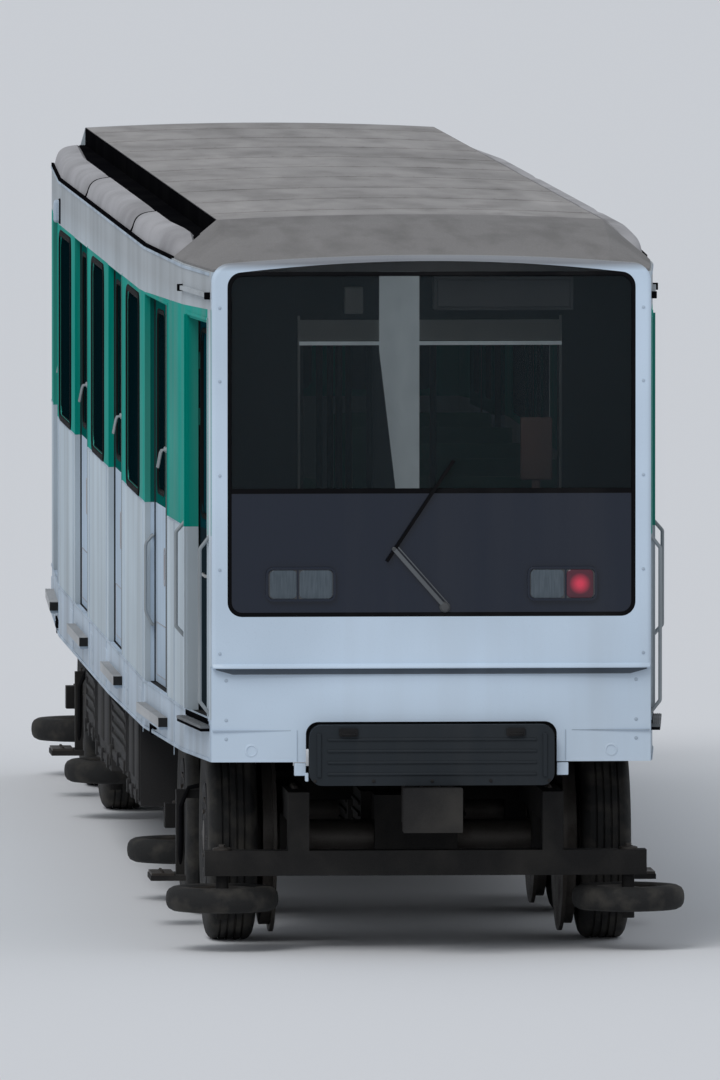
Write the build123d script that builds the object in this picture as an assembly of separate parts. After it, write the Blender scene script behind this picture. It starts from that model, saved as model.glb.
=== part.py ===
from build123d import *
import math
import os

# Rubber-tyred metro car, the driving car at the head of a train.
# Millimetres. X runs towards the cab, Y to the car's left, Z up from the running surface.

# Body shell in plan
FACE_X = 7290
REAR_X = -7190
COUPLER_OVERHANG = 150
HALF_WIDTH = 1200
REAR_TAPER_X = -6850
REAR_TAPER = 68
REAR_CORNER_TAPER = 110
REAR_BEND_X = -4650
FRONT_BEND_X = 4000
NOSE_START_X = 6250
NOSE_TAPER = 68
FACE_TAPER = 150
WALL = 25
END_PLATE = 35
PANEL_SEAM = 1

# Body shell in height
SKIRT_BOTTOM = 865
SKIRT_RISE_X = 500
FLOOR_BOTTOM = 1050
FLOOR_TOP = 1130
WINDOW_BOTTOM = 2045
WINDOW_TOP = 2980
DOORWAY_TOP = 3030
CANTRAIL_TOP = 3270

# Roof
ROOF_SHOULDER = 265
ROOF_PANEL_EDGE_Z = 3455
ROOF_ARCH = 25
ROOF_PANEL_FRONT_X = 5600
ROOF_SKIN = 40
ROOF_FLANGE = 30
CHANNEL_Z = 3340
CHANNEL_SKIN = 22
FAIRING_FRONT_X = 5600
FAIRING_SLOT = 35
FAIRING_SET = 10
FAIRING_FOOT = 25
FAIRING_WIDTH = 128
FAIRING_HEIGHT = 115
FAIRING_BULGE = 24
FAIRING_LIP = 35

# Saloon doorways, four on each side
DOORWAY_XS = (-5600, -2250, 1200, 4700)
DOORWAY_WIDTH = 1300
DOOR_TRAVEL = 600
LEAF_GAP = 2
LEAF_THICKNESS = 30
LEAF_CLEAR = 8
LEAF_FLOOR_CLEAR = 5
LEAF_HEADER_LAP = 30
LEAF_WINDOW_WIDTH = 430
LEAF_WINDOW_BOTTOM = 2080
LEAF_WINDOW_TOP = 2950
RUNNER_CLEAR = 0.3
HEADER_WIDTH = 80
HEADER_DEPTH = 50
HEADER_HALF_LENGTH = 1195
SILL_REACH = 45
SILL_BOTTOM = 985
SILL_TOP = 1030

# Side windows, one between each two doorways
BAY_WINDOW_WIDTH = 1140
WINDOW_CORNER = 60
GLASS_THICKNESS = 10
GLASS_CLEAR = 0.3

# Cab doors, measured along the slanting side from its rear end, each in a recess
CAB_DOOR_START = 150
CAB_DOOR_WIDTH = 600
CAB_RECESS_LENGTH = 750
CAB_RECESS = 65
CAB_DOOR_LAP = 10
CAB_DOOR_THICKNESS = 30
CAB_JAMB_CLEAR = 10
CAB_JAMB_WIDTH = 20
CAB_JAMB_THICKNESS = 12
CAB_DOOR_PANE_MARGIN = 50
CAB_HINGE_BEHIND = 24
CAB_HINGE_PIN_R = 10
CAB_KNUCKLE_R = 20
CAB_KNUCKLE_HEIGHT = 150
CAB_HINGE_BRACKET = 80
CAB_HINGE_GAP = 20
CAB_HINGE_ZS = (1525, 2675)

# Cab face
UNIT_SIDE_FRAME = 75
UNIT_BOTTOM = 1625
UNIT_SIDE_TOP = 3262
UNIT_ARCH = 60
UNIT_CORNER = 70
UNIT_DIVIDER = 2225
UNIT_RECESS = 8
UNIT_THICKNESS = 18
FACE_SIDE_FRAME = 43
FACE_CREST_FRAME = 28
FACE_TOP_CORNER = 90
LEDGE_Z = 1387
APRON_BOTTOM = 930
APRON_RECESS = 12
APRON_END_RECESS = 30
APRON_THICKNESS = 20
NOTCH_HALF_WIDTH = 600
NOTCH_TOP = 1122
COVER_HALF_WIDTH = 585
COVER_BOTTOM = 820
COVER_TOP = 1110
COVER_FRONT_X = 7335
COVER_SKIN = 20
COVER_CORNER = 60
LAMP_Y = 625
LAMP_Z = 1780
LAMP_WIDTH = 310
LAMP_HEIGHT = 140
LAMP_REACH = 12

# Roof nose: x, and how far its top is in from the roof panel's edge, its edge height, its crest height
NOSE_SECTIONS = (
    (5600, 0, 3455, 3480),
    (6190, 20, 3425, 3457),
    (6740, 45, 3375, 3412),
    (7255, 75, 3308, 3350),
)
NOSE_FOOT = 12
NOSE_SIDE_SET = 10

# Underframe and couplers
BOGIE_XS = (-5000, 5000)
BOLSTER_HALF_LENGTH = 300
BOLSTER_HALF_WIDTH = 1000
BOLSTER_BOTTOM = 950
PIVOT_R = 90
PIVOT_BOTTOM = 640
DRAFT_BOX_LENGTH = 250
DRAFT_BOX_SET = 140
DRAFT_BOX_HALF = 120
COUPLER_Z = 740
COUPLER_SHANK_R = 70
COUPLER_HEAD_LENGTH = 140
COUPLER_HEAD_HALF = 140

# Running gear
WHEELBASE_HALF = 990
TYRE_R = 500
TYRE_INNER_Y = 780
TYRE_OUTER_Y = 1020
TYRE_SHOULDER = 45
RIM_R = 255
FIT_GAP = 0.3
AXLE_R = 75
SAFETY_WHEEL_R = 430
SAFETY_FLANGE_R = 465
SAFETY_INNER_Y = 690
SAFETY_OUTER_Y = 755
FLANGE_WIDTH = 18
HUB_NECK_R = 200
BEAM_INNER_Y = 560
BEAM_OUTER_Y = 660
BEAM_BOTTOM = 620
BEAM_TOP = 760
BEAM_HALF_LENGTH = 1870
AXLE_BOX_HALF = 150
AXLE_BOX_BOTTOM = 380
TRANSOM_HALF_LENGTH = 200
TRANSOM_HALF_WIDTH = 900
GUIDE_X = 1810
GUIDE_Y = 975
GUIDE_R = 270
GUIDE_HUB_R = 150
GUIDE_BOTTOM = 190
GUIDE_TOP = 310
GUIDE_HUB_SET = 15
GUIDE_SHOULDER = 35
SPINDLE_R = 30
SPINDLE_BOTTOM = 150
END_BEAM_BOTTOM = 360
END_BEAM_TOP = 480
END_BEAM_HALF = 60
END_BEAM_OVERHANG = 85
MOTOR_HALF_WIDTH = 250
MOTOR_BOTTOM = 350
MOTOR_TOP = 700
MOTOR_END_X = 850
GEARBOX_END_X = 1130
GEARBOX_HALF_WIDTH = 200
AIR_SPRING_R = 190
AIR_SPRING_Y = 720
SHOE_HALF_LENGTH = 160
SHOE_REACH_Y = 1230
SHOE_ARM_Y = 1060
SHOE_ARM_THICKNESS = 40
SHOE_BOTTOM = 225
SHOE_THICKNESS = 25

# Boxes hung below the floor: x start, x end, side, bottom
FLOOR_BOX_INNER_Y = 450
FLOOR_BOX_SET = 50
FLOOR_BOXES = (
    (-2650, -1350, 1, 430),
    (-1200, 300, 1, 480),
    (450, 1250, 1, 430),
    (1400, 2650, 1, 520),
    (-2650, -1650, -1, 480),
    (-1500, -200, -1, 430),
    (-50, 1450, -1, 500),
    (1600, 2650, -1, 430),
)

# Saloon and cab fittings
BENCH_BACK_OFFSET = 850
BENCH_BACK = 70
BENCH_DEPTH = 480
BENCH_AISLE_Y = 250
BENCH_WALL_SET = 115
BENCH_SEAT_TOP = 1570
BENCH_SEAT_BOTTOM = 1480
BENCH_TOP = 2040
BENCH_LEG = 60
POLE_R = 17
POLE_Y = 232
PARTITION_X = 6260
PARTITION_THICKNESS = 40
PARTITION_SET = 37
PARTITION_OPENINGS = ((-555, -220), (-10, 670))
PARTITION_SILL = 1950
PARTITION_HEAD = 2876
DESK_X = 6930
DESK_END_X = 7225
DESK_HALF_WIDTH = 560
DESK_TOP = 2030
DRIVER_SEAT_X = 6420
DRIVER_SEAT_Y = -160
DRIVER_SEAT_HALF = 230
DRIVER_SEAT_DEPTH = 430
DRIVER_SEAT_TOP = 1600
DRIVER_BACK_TOP = 2150
DRIVER_BACK = 80
DRIVER_PEDESTAL_R = 60

# Wiper on the cab face: y and z of its three points
WIPER_PIVOT = (63, 1670)
WIPER_ELBOW = (-180, 1948)
WIPER_BLADE_FOOT = (-215, 1888)
WIPER_TIP = (105, 2370)
WIPER_WIDTH = 22
WIPER_THICKNESS = 10
WIPER_SPINDLE_R = 16

# Hand rails by each cab door: place along the slanting side, lower foot, upper foot, reach
HAND_RAILS = (
    (105, 1467, 2050, 48),
    (925, 1150, 2010, 42),
)
HAND_RAIL_R = 9
HAND_RAIL_HOOK = 65
HAND_RAIL_BEND = 20
DRIP_RAIL_REACH = 16
DRIP_RAIL_HEIGHT = 20
DRIP_RAIL_Z = 3145
DRIP_RAIL_START = 5
DRIP_RAIL_END = 960

REAR_TAPER_Y = HALF_WIDTH - REAR_TAPER
REAR_CORNER_Y = HALF_WIDTH - REAR_CORNER_TAPER
NOSE_START_Y = HALF_WIDTH - NOSE_TAPER
FACE_HALF_WIDTH = HALF_WIDTH - FACE_TAPER

# Plan of the left side: widest in the middle, tapering gently to both ends
SIDE_LINE = (
    (REAR_X, REAR_CORNER_Y),
    (REAR_TAPER_X, REAR_TAPER_Y),
    (REAR_BEND_X, HALF_WIDTH),
    (FRONT_BEND_X, HALF_WIDTH),
    (NOSE_START_X, NOSE_START_Y),
    (FACE_X, FACE_HALF_WIDTH),
)
REAR_PLATE_X = REAR_X + END_PLATE
FACE_PLATE_X = FACE_X - END_PLATE
LOWER_END_X = FACE_X - APRON_END_RECESS - APRON_THICKNESS
SLANT = math.degrees(math.atan2(FACE_HALF_WIDTH - NOSE_START_Y, FACE_X - NOSE_START_X))
SLANT_PLACE = Pos(NOSE_START_X, NOSE_START_Y, 0) * Rot(0, 0, SLANT)
CAB_HINGE_ALONG = CAB_DOOR_START - CAB_HINGE_BEHIND
CAB_HINGE_OUT = -(CAB_RECESS + CAB_DOOR_THICKNESS / 2)
CAB_DOOR_END = CAB_DOOR_START + CAB_DOOR_WIDTH
CAB_RECESS_END = CAB_DOOR_START + CAB_RECESS_LENGTH
CAB_JAMB_DEPTH = CAB_RECESS - CAB_JAMB_CLEAR
LEAF_TOP = DOORWAY_TOP + LEAF_HEADER_LAP
COUPLER_REACH = FACE_X + COUPLER_OVERHANG
DRAFT_BOX_OUTER_X = FACE_X - DRAFT_BOX_SET
ROOF_CREST_Z = ROOF_PANEL_EDGE_Z + ROOF_ARCH
ROOF_PANEL_HALF = HALF_WIDTH - ROOF_SHOULDER
UNIT_HALF_WIDTH = FACE_HALF_WIDTH - UNIT_SIDE_FRAME
BENCH_WALL_Y = HALF_WIDTH - BENCH_WALL_SET
PARTITION_HALF_WIDTH = NOSE_START_Y - PARTITION_SET
FLOOR_BOX_OUTER_Y = HALF_WIDTH - FLOOR_BOX_SET
FAIRING_TOP_HALF = HALF_WIDTH - FAIRING_WIDTH
FAIRING_TOP_Z = CANTRAIL_TOP + FAIRING_HEIGHT
UNIT_CREST = UNIT_SIDE_TOP + UNIT_ARCH
FACE_TOP_EDGE = UNIT_SIDE_TOP + FACE_SIDE_FRAME
FACE_CREST = UNIT_CREST + FACE_CREST_FRAME
PARTITION_END_X = PARTITION_X + PARTITION_THICKNESS
BAY_XS = tuple((a + b) / 2 for a, b in zip(DOORWAY_XS, DOORWAY_XS[1:]))


def box(x0, x1, y0, y1, z0, z1):
    """Block between two corners."""
    return Pos((x0 + x1) / 2, (y0 + y1) / 2, (z0 + z1) / 2) * Box(x1 - x0, y1 - y0, z1 - z0)


def rod_x(y, z, r, x0, x1):
    """Round bar along X."""
    return Pos((x0 + x1) / 2, y, z) * Rot(0, 90, 0) * Cylinder(r, x1 - x0)


def rod_y(x, z, r, y0, y1):
    """Round bar along Y."""
    return Pos(x, (y0 + y1) / 2, z) * Rot(90, 0, 0) * Cylinder(r, y1 - y0)


def rod_z(x, y, r, z0, z1):
    """Round bar along Z."""
    return Pos(x, y, (z0 + z1) / 2) * Cylinder(r, z1 - z0)


def other_side(part):
    """The same piece on the car's right."""
    return mirror(part, about=Plane.XZ)


def other_end(part):
    """The same piece turned half way round, at the other end of the car."""
    return Rot(0, 0, 180) * part


def group(parts):
    """Several solids as one sub-part."""
    return Compound([solid for part in parts for solid in part.solids()])


def prism_up(points, z0, z1):
    """Plan outline raised from z0 to z1."""
    return extrude(Plane.XY.offset(z0) * make_face(Polyline(*points, close=True)), amount=z1 - z0)


def prism_along(outline, x0, x1):
    """Cross-section outline drawn in Y and Z, run from x0 to x1."""
    return extrude(Plane.YZ.offset(x0) * outline, amount=x1 - x0)


def window_block(x, z, width, height, corner, y0, y1):
    """Rounded rectangle seen from the side, run from y0 to y1."""
    outline = Pos(x, z) * RectangleRounded(width, height, corner)
    return extrude(Plane.XZ.offset(-y0) * outline, amount=-(y1 - y0))


def outer_y(x):
    """Half width of the body side at x."""
    for (x0, y0), (x1, y1) in zip(SIDE_LINE, SIDE_LINE[1:]):
        if x <= x1:
            return y0 + (y1 - y0) * (x - x0) / (x1 - x0)
    return FACE_HALF_WIDTH


def side_xs(x0, x1):
    """Both ends of a stretch of the side with the bends between them."""
    return [x0] + [x for x, _ in SIDE_LINE if x0 < x < x1] + [x1]


def side_strip(x0, x1, out0, out1, z0, z1):
    """Strip along the left side between two distances out from its surface."""
    xs = side_xs(x0, x1)
    near = [(x, outer_y(x) + out0) for x in xs]
    far = [(x, outer_y(x) + out1) for x in reversed(xs)]
    return prism_up(near + far, z0, z1)


def side_panel_row(z0, z1, end_x=FACE_PLATE_X):
    """Straight panels of the left wall between two heights, with a seam at each bend."""
    xs = side_xs(REAR_PLATE_X, end_x)
    seam = PANEL_SEAM / 2
    panels = []
    for a, b in zip(xs, xs[1:]):
        start = a if a == xs[0] else a + seam
        end = b if b == xs[-1] else b - seam
        panels.append(side_strip(start, end, -WALL, 0, z0, z1))
    return panels


def along_side(outline, x0, x1):
    """Cross-section drawn where the body is widest, run along the side round its bends."""
    xs = side_xs(x0, x1)
    run = None
    for a, b in zip(xs, xs[1:]):
        path = Vector(b - a, outer_y(b) - outer_y(a), 0)
        start = Plane.YZ.offset(a) * Pos(outer_y(a) - HALF_WIDTH, 0) * outline
        piece = extrude(start, amount=path.length, dir=path.normalized())
        run = piece if run is None else run + piece
    return run


def door_place(x):
    """Place on the side's surface in the middle of a doorway, turned along the side."""
    ahead = outer_y(x + DOORWAY_WIDTH / 2)
    behind = outer_y(x - DOORWAY_WIDTH / 2)
    turn = math.degrees(math.atan2(ahead - behind, DOORWAY_WIDTH))
    return Pos(x, (ahead + behind) / 2, 0) * Rot(0, 0, turn)


def leaf_out(x):
    """Outer face of the leaves of a doorway, further in where the side tapers as they slide."""
    taper = abs(outer_y(x + DOORWAY_WIDTH / 2) - outer_y(x - DOORWAY_WIDTH / 2)) / DOORWAY_WIDTH
    return -(WALL + LEAF_CLEAR + taper * DOOR_TRAVEL)


def slant_box(along0, along1, out0, out1, z0, z1):
    """Block set square to the slanting side by the cab door."""
    return SLANT_PLACE * box(along0, along1, out0, out1, z0, z1)


def unit_outline(inset):
    """Dark windscreen unit of the cab face, arched at its top."""
    half = UNIT_HALF_WIDTH - inset
    low = UNIT_BOTTOM + inset
    side = UNIT_SIDE_TOP - inset
    edge = Line((half, side), (half, low)) + Line((half, low), (-half, low))
    edge += Line((-half, low), (-half, side))
    edge += ThreePointArc((-half, side), (0, UNIT_CREST - inset), (half, side))
    face = make_face(edge)
    return fillet(face.vertices(), UNIT_CORNER)


def doorway(x):
    """Space of one saloon doorway in the left wall."""
    half = DOORWAY_WIDTH / 2
    return side_strip(x - half, x + half, -2 * WALL, WALL, FLOOR_TOP, DOORWAY_TOP)


def bay_window(x, inset, y0, y1):
    """Window between two doorways, as a cutter or, with an inset, as its pane."""
    height = WINDOW_TOP - WINDOW_BOTTOM
    centre = (WINDOW_TOP + WINDOW_BOTTOM) / 2
    return window_block(
        x, centre, BAY_WINDOW_WIDTH - 2 * inset, height - 2 * inset, WINDOW_CORNER - inset, y0, y1
    )


def cab_hinge_pins():
    """Pins with brackets on the inside of the left wall."""
    out = CAB_HINGE_OUT
    parts = []
    for z in CAB_HINGE_ZS:
        reach = CAB_KNUCKLE_HEIGHT / 2 + CAB_HINGE_GAP + CAB_HINGE_BRACKET
        pin = SLANT_PLACE * rod_z(CAB_HINGE_ALONG, out, CAB_HINGE_PIN_R, z - reach, z + reach)
        along0 = CAB_HINGE_ALONG - CAB_HINGE_PIN_R
        along1 = CAB_HINGE_ALONG + CAB_HINGE_PIN_R
        low = slant_box(along0, along1, out, -WALL / 2, z - reach, z - reach + CAB_HINGE_BRACKET)
        high = slant_box(along0, along1, out, -WALL / 2, z + reach - CAB_HINGE_BRACKET, z + reach)
        parts += [pin, low, high]
    return parts


def cab_recess_frame():
    """Jambs and head round the recess of the left cab door, and the pillar in front of the leaf."""
    deep = -CAB_JAMB_DEPTH
    shallow = -WALL / 2
    rear = CAB_DOOR_START - CAB_JAMB_WIDTH
    front = CAB_RECESS_END + CAB_JAMB_THICKNESS
    return [
        slant_box(rear, CAB_DOOR_START, deep, shallow, FLOOR_TOP, DOORWAY_TOP),
        slant_box(CAB_RECESS_END, front, deep, shallow, FLOOR_TOP, DOORWAY_TOP),
        slant_box(CAB_DOOR_END - CAB_DOOR_LAP, front, deep, deep + CAB_JAMB_THICKNESS, FLOOR_TOP, DOORWAY_TOP),
        slant_box(rear, front, deep, shallow, DOORWAY_TOP - CAB_JAMB_THICKNESS, DOORWAY_TOP),
    ]


def side_panels():
    """Left wall between floor and doorway tops, cut for doors and windows."""
    wall = side_strip(REAR_PLATE_X, FACE_PLATE_X, -WALL, 0, FLOOR_TOP, DOORWAY_TOP)
    for x in DOORWAY_XS:
        wall -= doorway(x)
    for x in BAY_XS:
        wall -= bay_window(x, 0, HALF_WIDTH - 2 * WALL, HALF_WIDTH + WALL)
    seam = PANEL_SEAM / 2
    wall -= box(NOSE_START_X - seam, NOSE_START_X + seam, 0, HALF_WIDTH, FLOOR_TOP, DOORWAY_TOP)
    wall -= slant_box(CAB_DOOR_START, CAB_RECESS_END, -3 * WALL, WALL, FLOOR_TOP, DOORWAY_TOP)
    wall -= box(LOWER_END_X, FACE_X, 0, HALF_WIDTH, FLOOR_TOP, LEDGE_Z)
    for piece in cab_recess_frame() + cab_hinge_pins():
        wall += piece
    return wall


def below_skirts():
    """Space below the lower edge of the left skirt, which rises towards the apron."""
    edge = Polyline(
        (SKIRT_RISE_X, SKIRT_BOTTOM),
        (FACE_X, APRON_BOTTOM),
        (FACE_X, SKIRT_BOTTOM - WALL),
        (SKIRT_RISE_X, SKIRT_BOTTOM - WALL),
        close=True,
    )
    return extrude(Plane.XZ * make_face(edge), amount=-(HALF_WIDTH + WALL))


def skirts():
    """Lower side panels below floor level."""
    space = below_skirts()
    left = [panel - space for panel in side_panel_row(SKIRT_BOTTOM, FLOOR_TOP, LOWER_END_X)]
    return group(left + [other_side(panel) for panel in left])


def cantrails():
    """Panels above the doors, with a drip rail over each cab door."""
    left = side_panel_row(DOORWAY_TOP, CANTRAIL_TOP)
    top = DRIP_RAIL_Z + DRIP_RAIL_HEIGHT
    rail = slant_box(DRIP_RAIL_START, DRIP_RAIL_END, -WALL / 2, DRIP_RAIL_REACH, DRIP_RAIL_Z, top)
    left[-1] = left[-1] + rail
    return group(left + [other_side(panel) for panel in left])


def fairing_top_y(x):
    """Inner top edge of the roof fairing at x."""
    return outer_y(x) - FAIRING_WIDTH


def rear_outline():
    """End of the car seen along X."""
    edge = Polyline(
        (-ROOF_PANEL_HALF, ROOF_PANEL_EDGE_Z),
        (-fairing_top_y(REAR_X), CHANNEL_Z + CHANNEL_SKIN),
        (-REAR_CORNER_Y, CANTRAIL_TOP),
        (-REAR_CORNER_Y, SKIRT_BOTTOM),
        (REAR_CORNER_Y, SKIRT_BOTTOM),
        (REAR_CORNER_Y, CANTRAIL_TOP),
        (fairing_top_y(REAR_X), CHANNEL_Z + CHANNEL_SKIN),
        (ROOF_PANEL_HALF, ROOF_PANEL_EDGE_Z),
    )
    crown = ThreePointArc(
        (ROOF_PANEL_HALF, ROOF_PANEL_EDGE_Z), (0, ROOF_CREST_Z), (-ROOF_PANEL_HALF, ROOF_PANEL_EDGE_Z)
    )
    return make_face(edge + crown)


REAR_WINDOWS = ((-700, 480), (0, 560), (700, 480))


def rear_window(y, width, inset, x0, x1):
    """One window of the rear end wall, y and width across the car."""
    height = WINDOW_TOP - WINDOW_BOTTOM - 2 * inset
    centre = (WINDOW_TOP + WINDOW_BOTTOM) / 2
    outline = Pos(y, centre) * RectangleRounded(width - 2 * inset, height, WINDOW_CORNER - inset)
    return prism_along(outline, x0, x1)


def rear_wall():
    """Flat end wall at the coupled end."""
    wall = prism_along(rear_outline(), REAR_X, REAR_PLATE_X)
    for y, width in REAR_WINDOWS:
        wall -= rear_window(y, width, 0, REAR_X - WALL, REAR_PLATE_X + WALL)
    return wall


def window_glass():
    """Panes of the bay windows and of the rear wall."""
    panes = []
    middle = HALF_WIDTH - WALL / 2
    for x in BAY_XS:
        pane = bay_window(x, GLASS_CLEAR, middle - GLASS_THICKNESS / 2, middle + GLASS_THICKNESS / 2)
        panes += [pane, other_side(pane)]
    start = REAR_X + END_PLATE / 2 - GLASS_THICKNESS / 2
    for y, width in REAR_WINDOWS:
        panes.append(rear_window(y, width, GLASS_CLEAR, start, start + GLASS_THICKNESS))
    return group(panes)


def door_tracks():
    """Header runners that the door leaves hang from, and sills below them."""
    low = LEAF_TOP + RUNNER_CLEAR
    parts = []
    for x in DOORWAY_XS:
        long = HEADER_HALF_LENGTH
        header = side_strip(x - long, x + long, -WALL - HEADER_WIDTH, -WALL, low, low + HEADER_DEPTH)
        half = DOORWAY_WIDTH / 2
        sill = side_strip(x - half, x + half, 0, SILL_REACH, SILL_BOTTOM, SILL_TOP)
        parts += [header, other_side(header), sill, other_side(sill)]
    return group(parts)


def roof_panel():
    """Arched grey roof skin with its two side flanges."""
    edge = ThreePointArc(
        (-ROOF_PANEL_HALF, ROOF_PANEL_EDGE_Z), (0, ROOF_CREST_Z), (ROOF_PANEL_HALF, ROOF_PANEL_EDGE_Z)
    )
    inner_half = ROOF_PANEL_HALF - ROOF_FLANGE
    inner_z = ROOF_PANEL_EDGE_Z - ROOF_SKIN
    edge += Polyline(
        (ROOF_PANEL_HALF, ROOF_PANEL_EDGE_Z),
        (ROOF_PANEL_HALF, CHANNEL_Z),
        (inner_half, CHANNEL_Z),
        (inner_half, inner_z),
    )
    edge += ThreePointArc((inner_half, inner_z), (0, ROOF_CREST_Z - ROOF_SKIN), (-inner_half, inner_z))
    edge += Polyline(
        (-inner_half, inner_z),
        (-inner_half, CHANNEL_Z),
        (-ROOF_PANEL_HALF, CHANNEL_Z),
        (-ROOF_PANEL_HALF, ROOF_PANEL_EDGE_Z),
    )
    return prism_along(make_face(edge), REAR_PLATE_X, ROOF_PANEL_FRONT_X)


def ceiling_z(y):
    """Height of the roof panel's inner face at y."""
    half = ROOF_PANEL_HALF - ROOF_FLANGE
    rise = ROOF_CREST_Z - ROOF_PANEL_EDGE_Z
    radius = (half * half + rise * rise) / (2 * rise)
    return ROOF_CREST_Z - ROOF_SKIN - radius + math.sqrt(radius * radius - y * y)


def roof_channels():
    """Dark gutters between the roof panel and the edge fairings."""
    outer = [(x, fairing_top_y(x)) for x in side_xs(REAR_PLATE_X, ROOF_PANEL_FRONT_X)]
    inner = [(ROOF_PANEL_FRONT_X, ROOF_PANEL_HALF), (REAR_PLATE_X, ROOF_PANEL_HALF)]
    left = prism_up(outer + inner, CHANNEL_Z, CHANNEL_Z + CHANNEL_SKIN)
    return group([left, other_side(left)])


def roof_fairings():
    """Curved covers along the roof edges."""
    foot_out = HALF_WIDTH - FAIRING_SET
    foot_in = foot_out - FAIRING_FOOT
    top_in = FAIRING_TOP_Z - FAIRING_LIP
    middle_y = (foot_out + FAIRING_TOP_HALF) / 2
    middle_z = (CANTRAIL_TOP + FAIRING_TOP_Z) / 2
    bulge_out = (middle_y + FAIRING_BULGE, middle_z + FAIRING_BULGE)
    bulge_in = (bulge_out[0] - FAIRING_FOOT, bulge_out[1] - FAIRING_FOOT)
    edge = ThreePointArc((foot_out, CANTRAIL_TOP), bulge_out, (FAIRING_TOP_HALF, FAIRING_TOP_Z))
    edge += Line((FAIRING_TOP_HALF, FAIRING_TOP_Z), (FAIRING_TOP_HALF, top_in))
    edge += ThreePointArc((FAIRING_TOP_HALF, top_in), bulge_in, (foot_in, CANTRAIL_TOP))
    edge += Line((foot_in, CANTRAIL_TOP), (foot_out, CANTRAIL_TOP))
    left = along_side(make_face(edge), REAR_TAPER_X, FAIRING_FRONT_X)
    return group([left, other_side(left)])


def nose_outline(half, top_half, edge_z, crest_z):
    """One cross-section of the roof nose."""
    edge = Polyline(
        (-top_half, edge_z),
        (-half, CANTRAIL_TOP + NOSE_FOOT),
        (-half, CANTRAIL_TOP),
        (half, CANTRAIL_TOP),
        (half, CANTRAIL_TOP + NOSE_FOOT),
        (top_half, edge_z),
    )
    edge += ThreePointArc((top_half, edge_z), (0, crest_z), (-top_half, edge_z))
    return make_face(edge)


def roof_cap():
    """Front of the roof, drooping towards the cab face."""
    sections = [
        Plane.YZ.offset(x) * nose_outline(outer_y(x) - NOSE_SIDE_SET, ROOF_PANEL_HALF - inset, edge, crest)
        for x, inset, edge, crest in NOSE_SECTIONS
    ]
    cap = loft(sections, ruled=True)
    side = side_strip(
        ROOF_PANEL_FRONT_X,
        FAIRING_FRONT_X + FAIRING_SLOT,
        -FAIRING_WIDTH - FAIRING_SET,
        FAIRING_WIDTH,
        CANTRAIL_TOP,
        ROOF_CREST_Z,
    )
    return cap - side - other_side(side)


def cab_front():
    """White surround of the windscreen unit."""
    edge = Polyline(
        (-FACE_HALF_WIDTH, FACE_TOP_EDGE),
        (-FACE_HALF_WIDTH, LEDGE_Z),
        (FACE_HALF_WIDTH, LEDGE_Z),
        (FACE_HALF_WIDTH, FACE_TOP_EDGE),
    )
    edge += ThreePointArc((FACE_HALF_WIDTH, FACE_TOP_EDGE), (0, FACE_CREST), (-FACE_HALF_WIDTH, FACE_TOP_EDGE))
    face = make_face(edge)
    upper = [v for v in face.vertices() if v.Y > UNIT_BOTTOM]
    face = fillet(upper, FACE_TOP_CORNER)
    plate = prism_along(face - unit_outline(0), FACE_PLATE_X, FACE_X)
    corners = plate.edges().filter_by(Axis.Z).group_by(Axis.X)[-1]
    sides = [e for e in corners if abs(e.center().Y) > UNIT_HALF_WIDTH + 1]
    return fillet(sides, END_PLATE * 0.6)


def front_panel():
    """Dark lower panel of the windscreen unit, with the lamp recesses left plain."""
    front = FACE_X - UNIT_RECESS
    fill = prism_along(unit_outline(GLASS_CLEAR), front - UNIT_THICKNESS, front)
    return fill & box(0, FACE_X, -HALF_WIDTH, HALF_WIDTH, 0, UNIT_DIVIDER)


def windscreen():
    """Single flat pane above the dark panel."""
    front = FACE_X - UNIT_RECESS
    fill = prism_along(unit_outline(GLASS_CLEAR), front - UNIT_THICKNESS, front)
    return fill & box(0, FACE_X, -HALF_WIDTH, HALF_WIDTH, UNIT_DIVIDER, ROOF_CREST_Z)


def apron_outline(shift):
    """Front edge of the apron in plan, bowed forward in the middle."""
    end = FACE_X - APRON_END_RECESS - shift
    return ThreePointArc(
        (end, -FACE_HALF_WIDTH), (FACE_X - APRON_RECESS - shift, 0), (end, FACE_HALF_WIDTH)
    )


def apron():
    """Lower front panel below the ledge, notched for the coupler cover."""
    front = apron_outline(0)
    back = apron_outline(APRON_THICKNESS)
    edge = front + back + Line(front @ 0, back @ 0) + Line(front @ 1, back @ 1)
    plate = extrude(Plane.XY.offset(APRON_BOTTOM) * make_face(edge), amount=LEDGE_Z - APRON_BOTTOM)
    notch = prism_along(
        Pos(0, NOTCH_TOP / 2) * RectangleRounded(2 * NOTCH_HALF_WIDTH, NOTCH_TOP, COVER_CORNER),
        FACE_X - 4 * END_PLATE,
        FACE_X + END_PLATE,
    )
    return plate - notch


def front_lamps():
    """Lamp clusters standing on the dark panel."""
    front = FACE_X - UNIT_RECESS
    left = prism_along(
        Pos(LAMP_Y, LAMP_Z) * RectangleRounded(LAMP_WIDTH, LAMP_HEIGHT, LAMP_HEIGHT / 5), front, front + LAMP_REACH
    )
    return group([left, other_side(left)])


def coupler_cover():
    """Black hood over the front coupler, open behind and below."""
    width = 2 * COVER_HALF_WIDTH
    height = COVER_TOP - COVER_BOTTOM
    outline = Pos(0, (COVER_TOP + COVER_BOTTOM) / 2) * RectangleRounded(width, height, COVER_CORNER)
    hood = prism_along(outline, LOWER_END_X, COVER_FRONT_X)
    inner = box(
        LOWER_END_X - COVER_SKIN,
        COVER_FRONT_X - COVER_SKIN,
        COVER_SKIN - COVER_HALF_WIDTH,
        COVER_HALF_WIDTH - COVER_SKIN,
        COVER_BOTTOM - COVER_SKIN,
        FLOOR_BOTTOM,
    )
    return hood - inner


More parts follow.
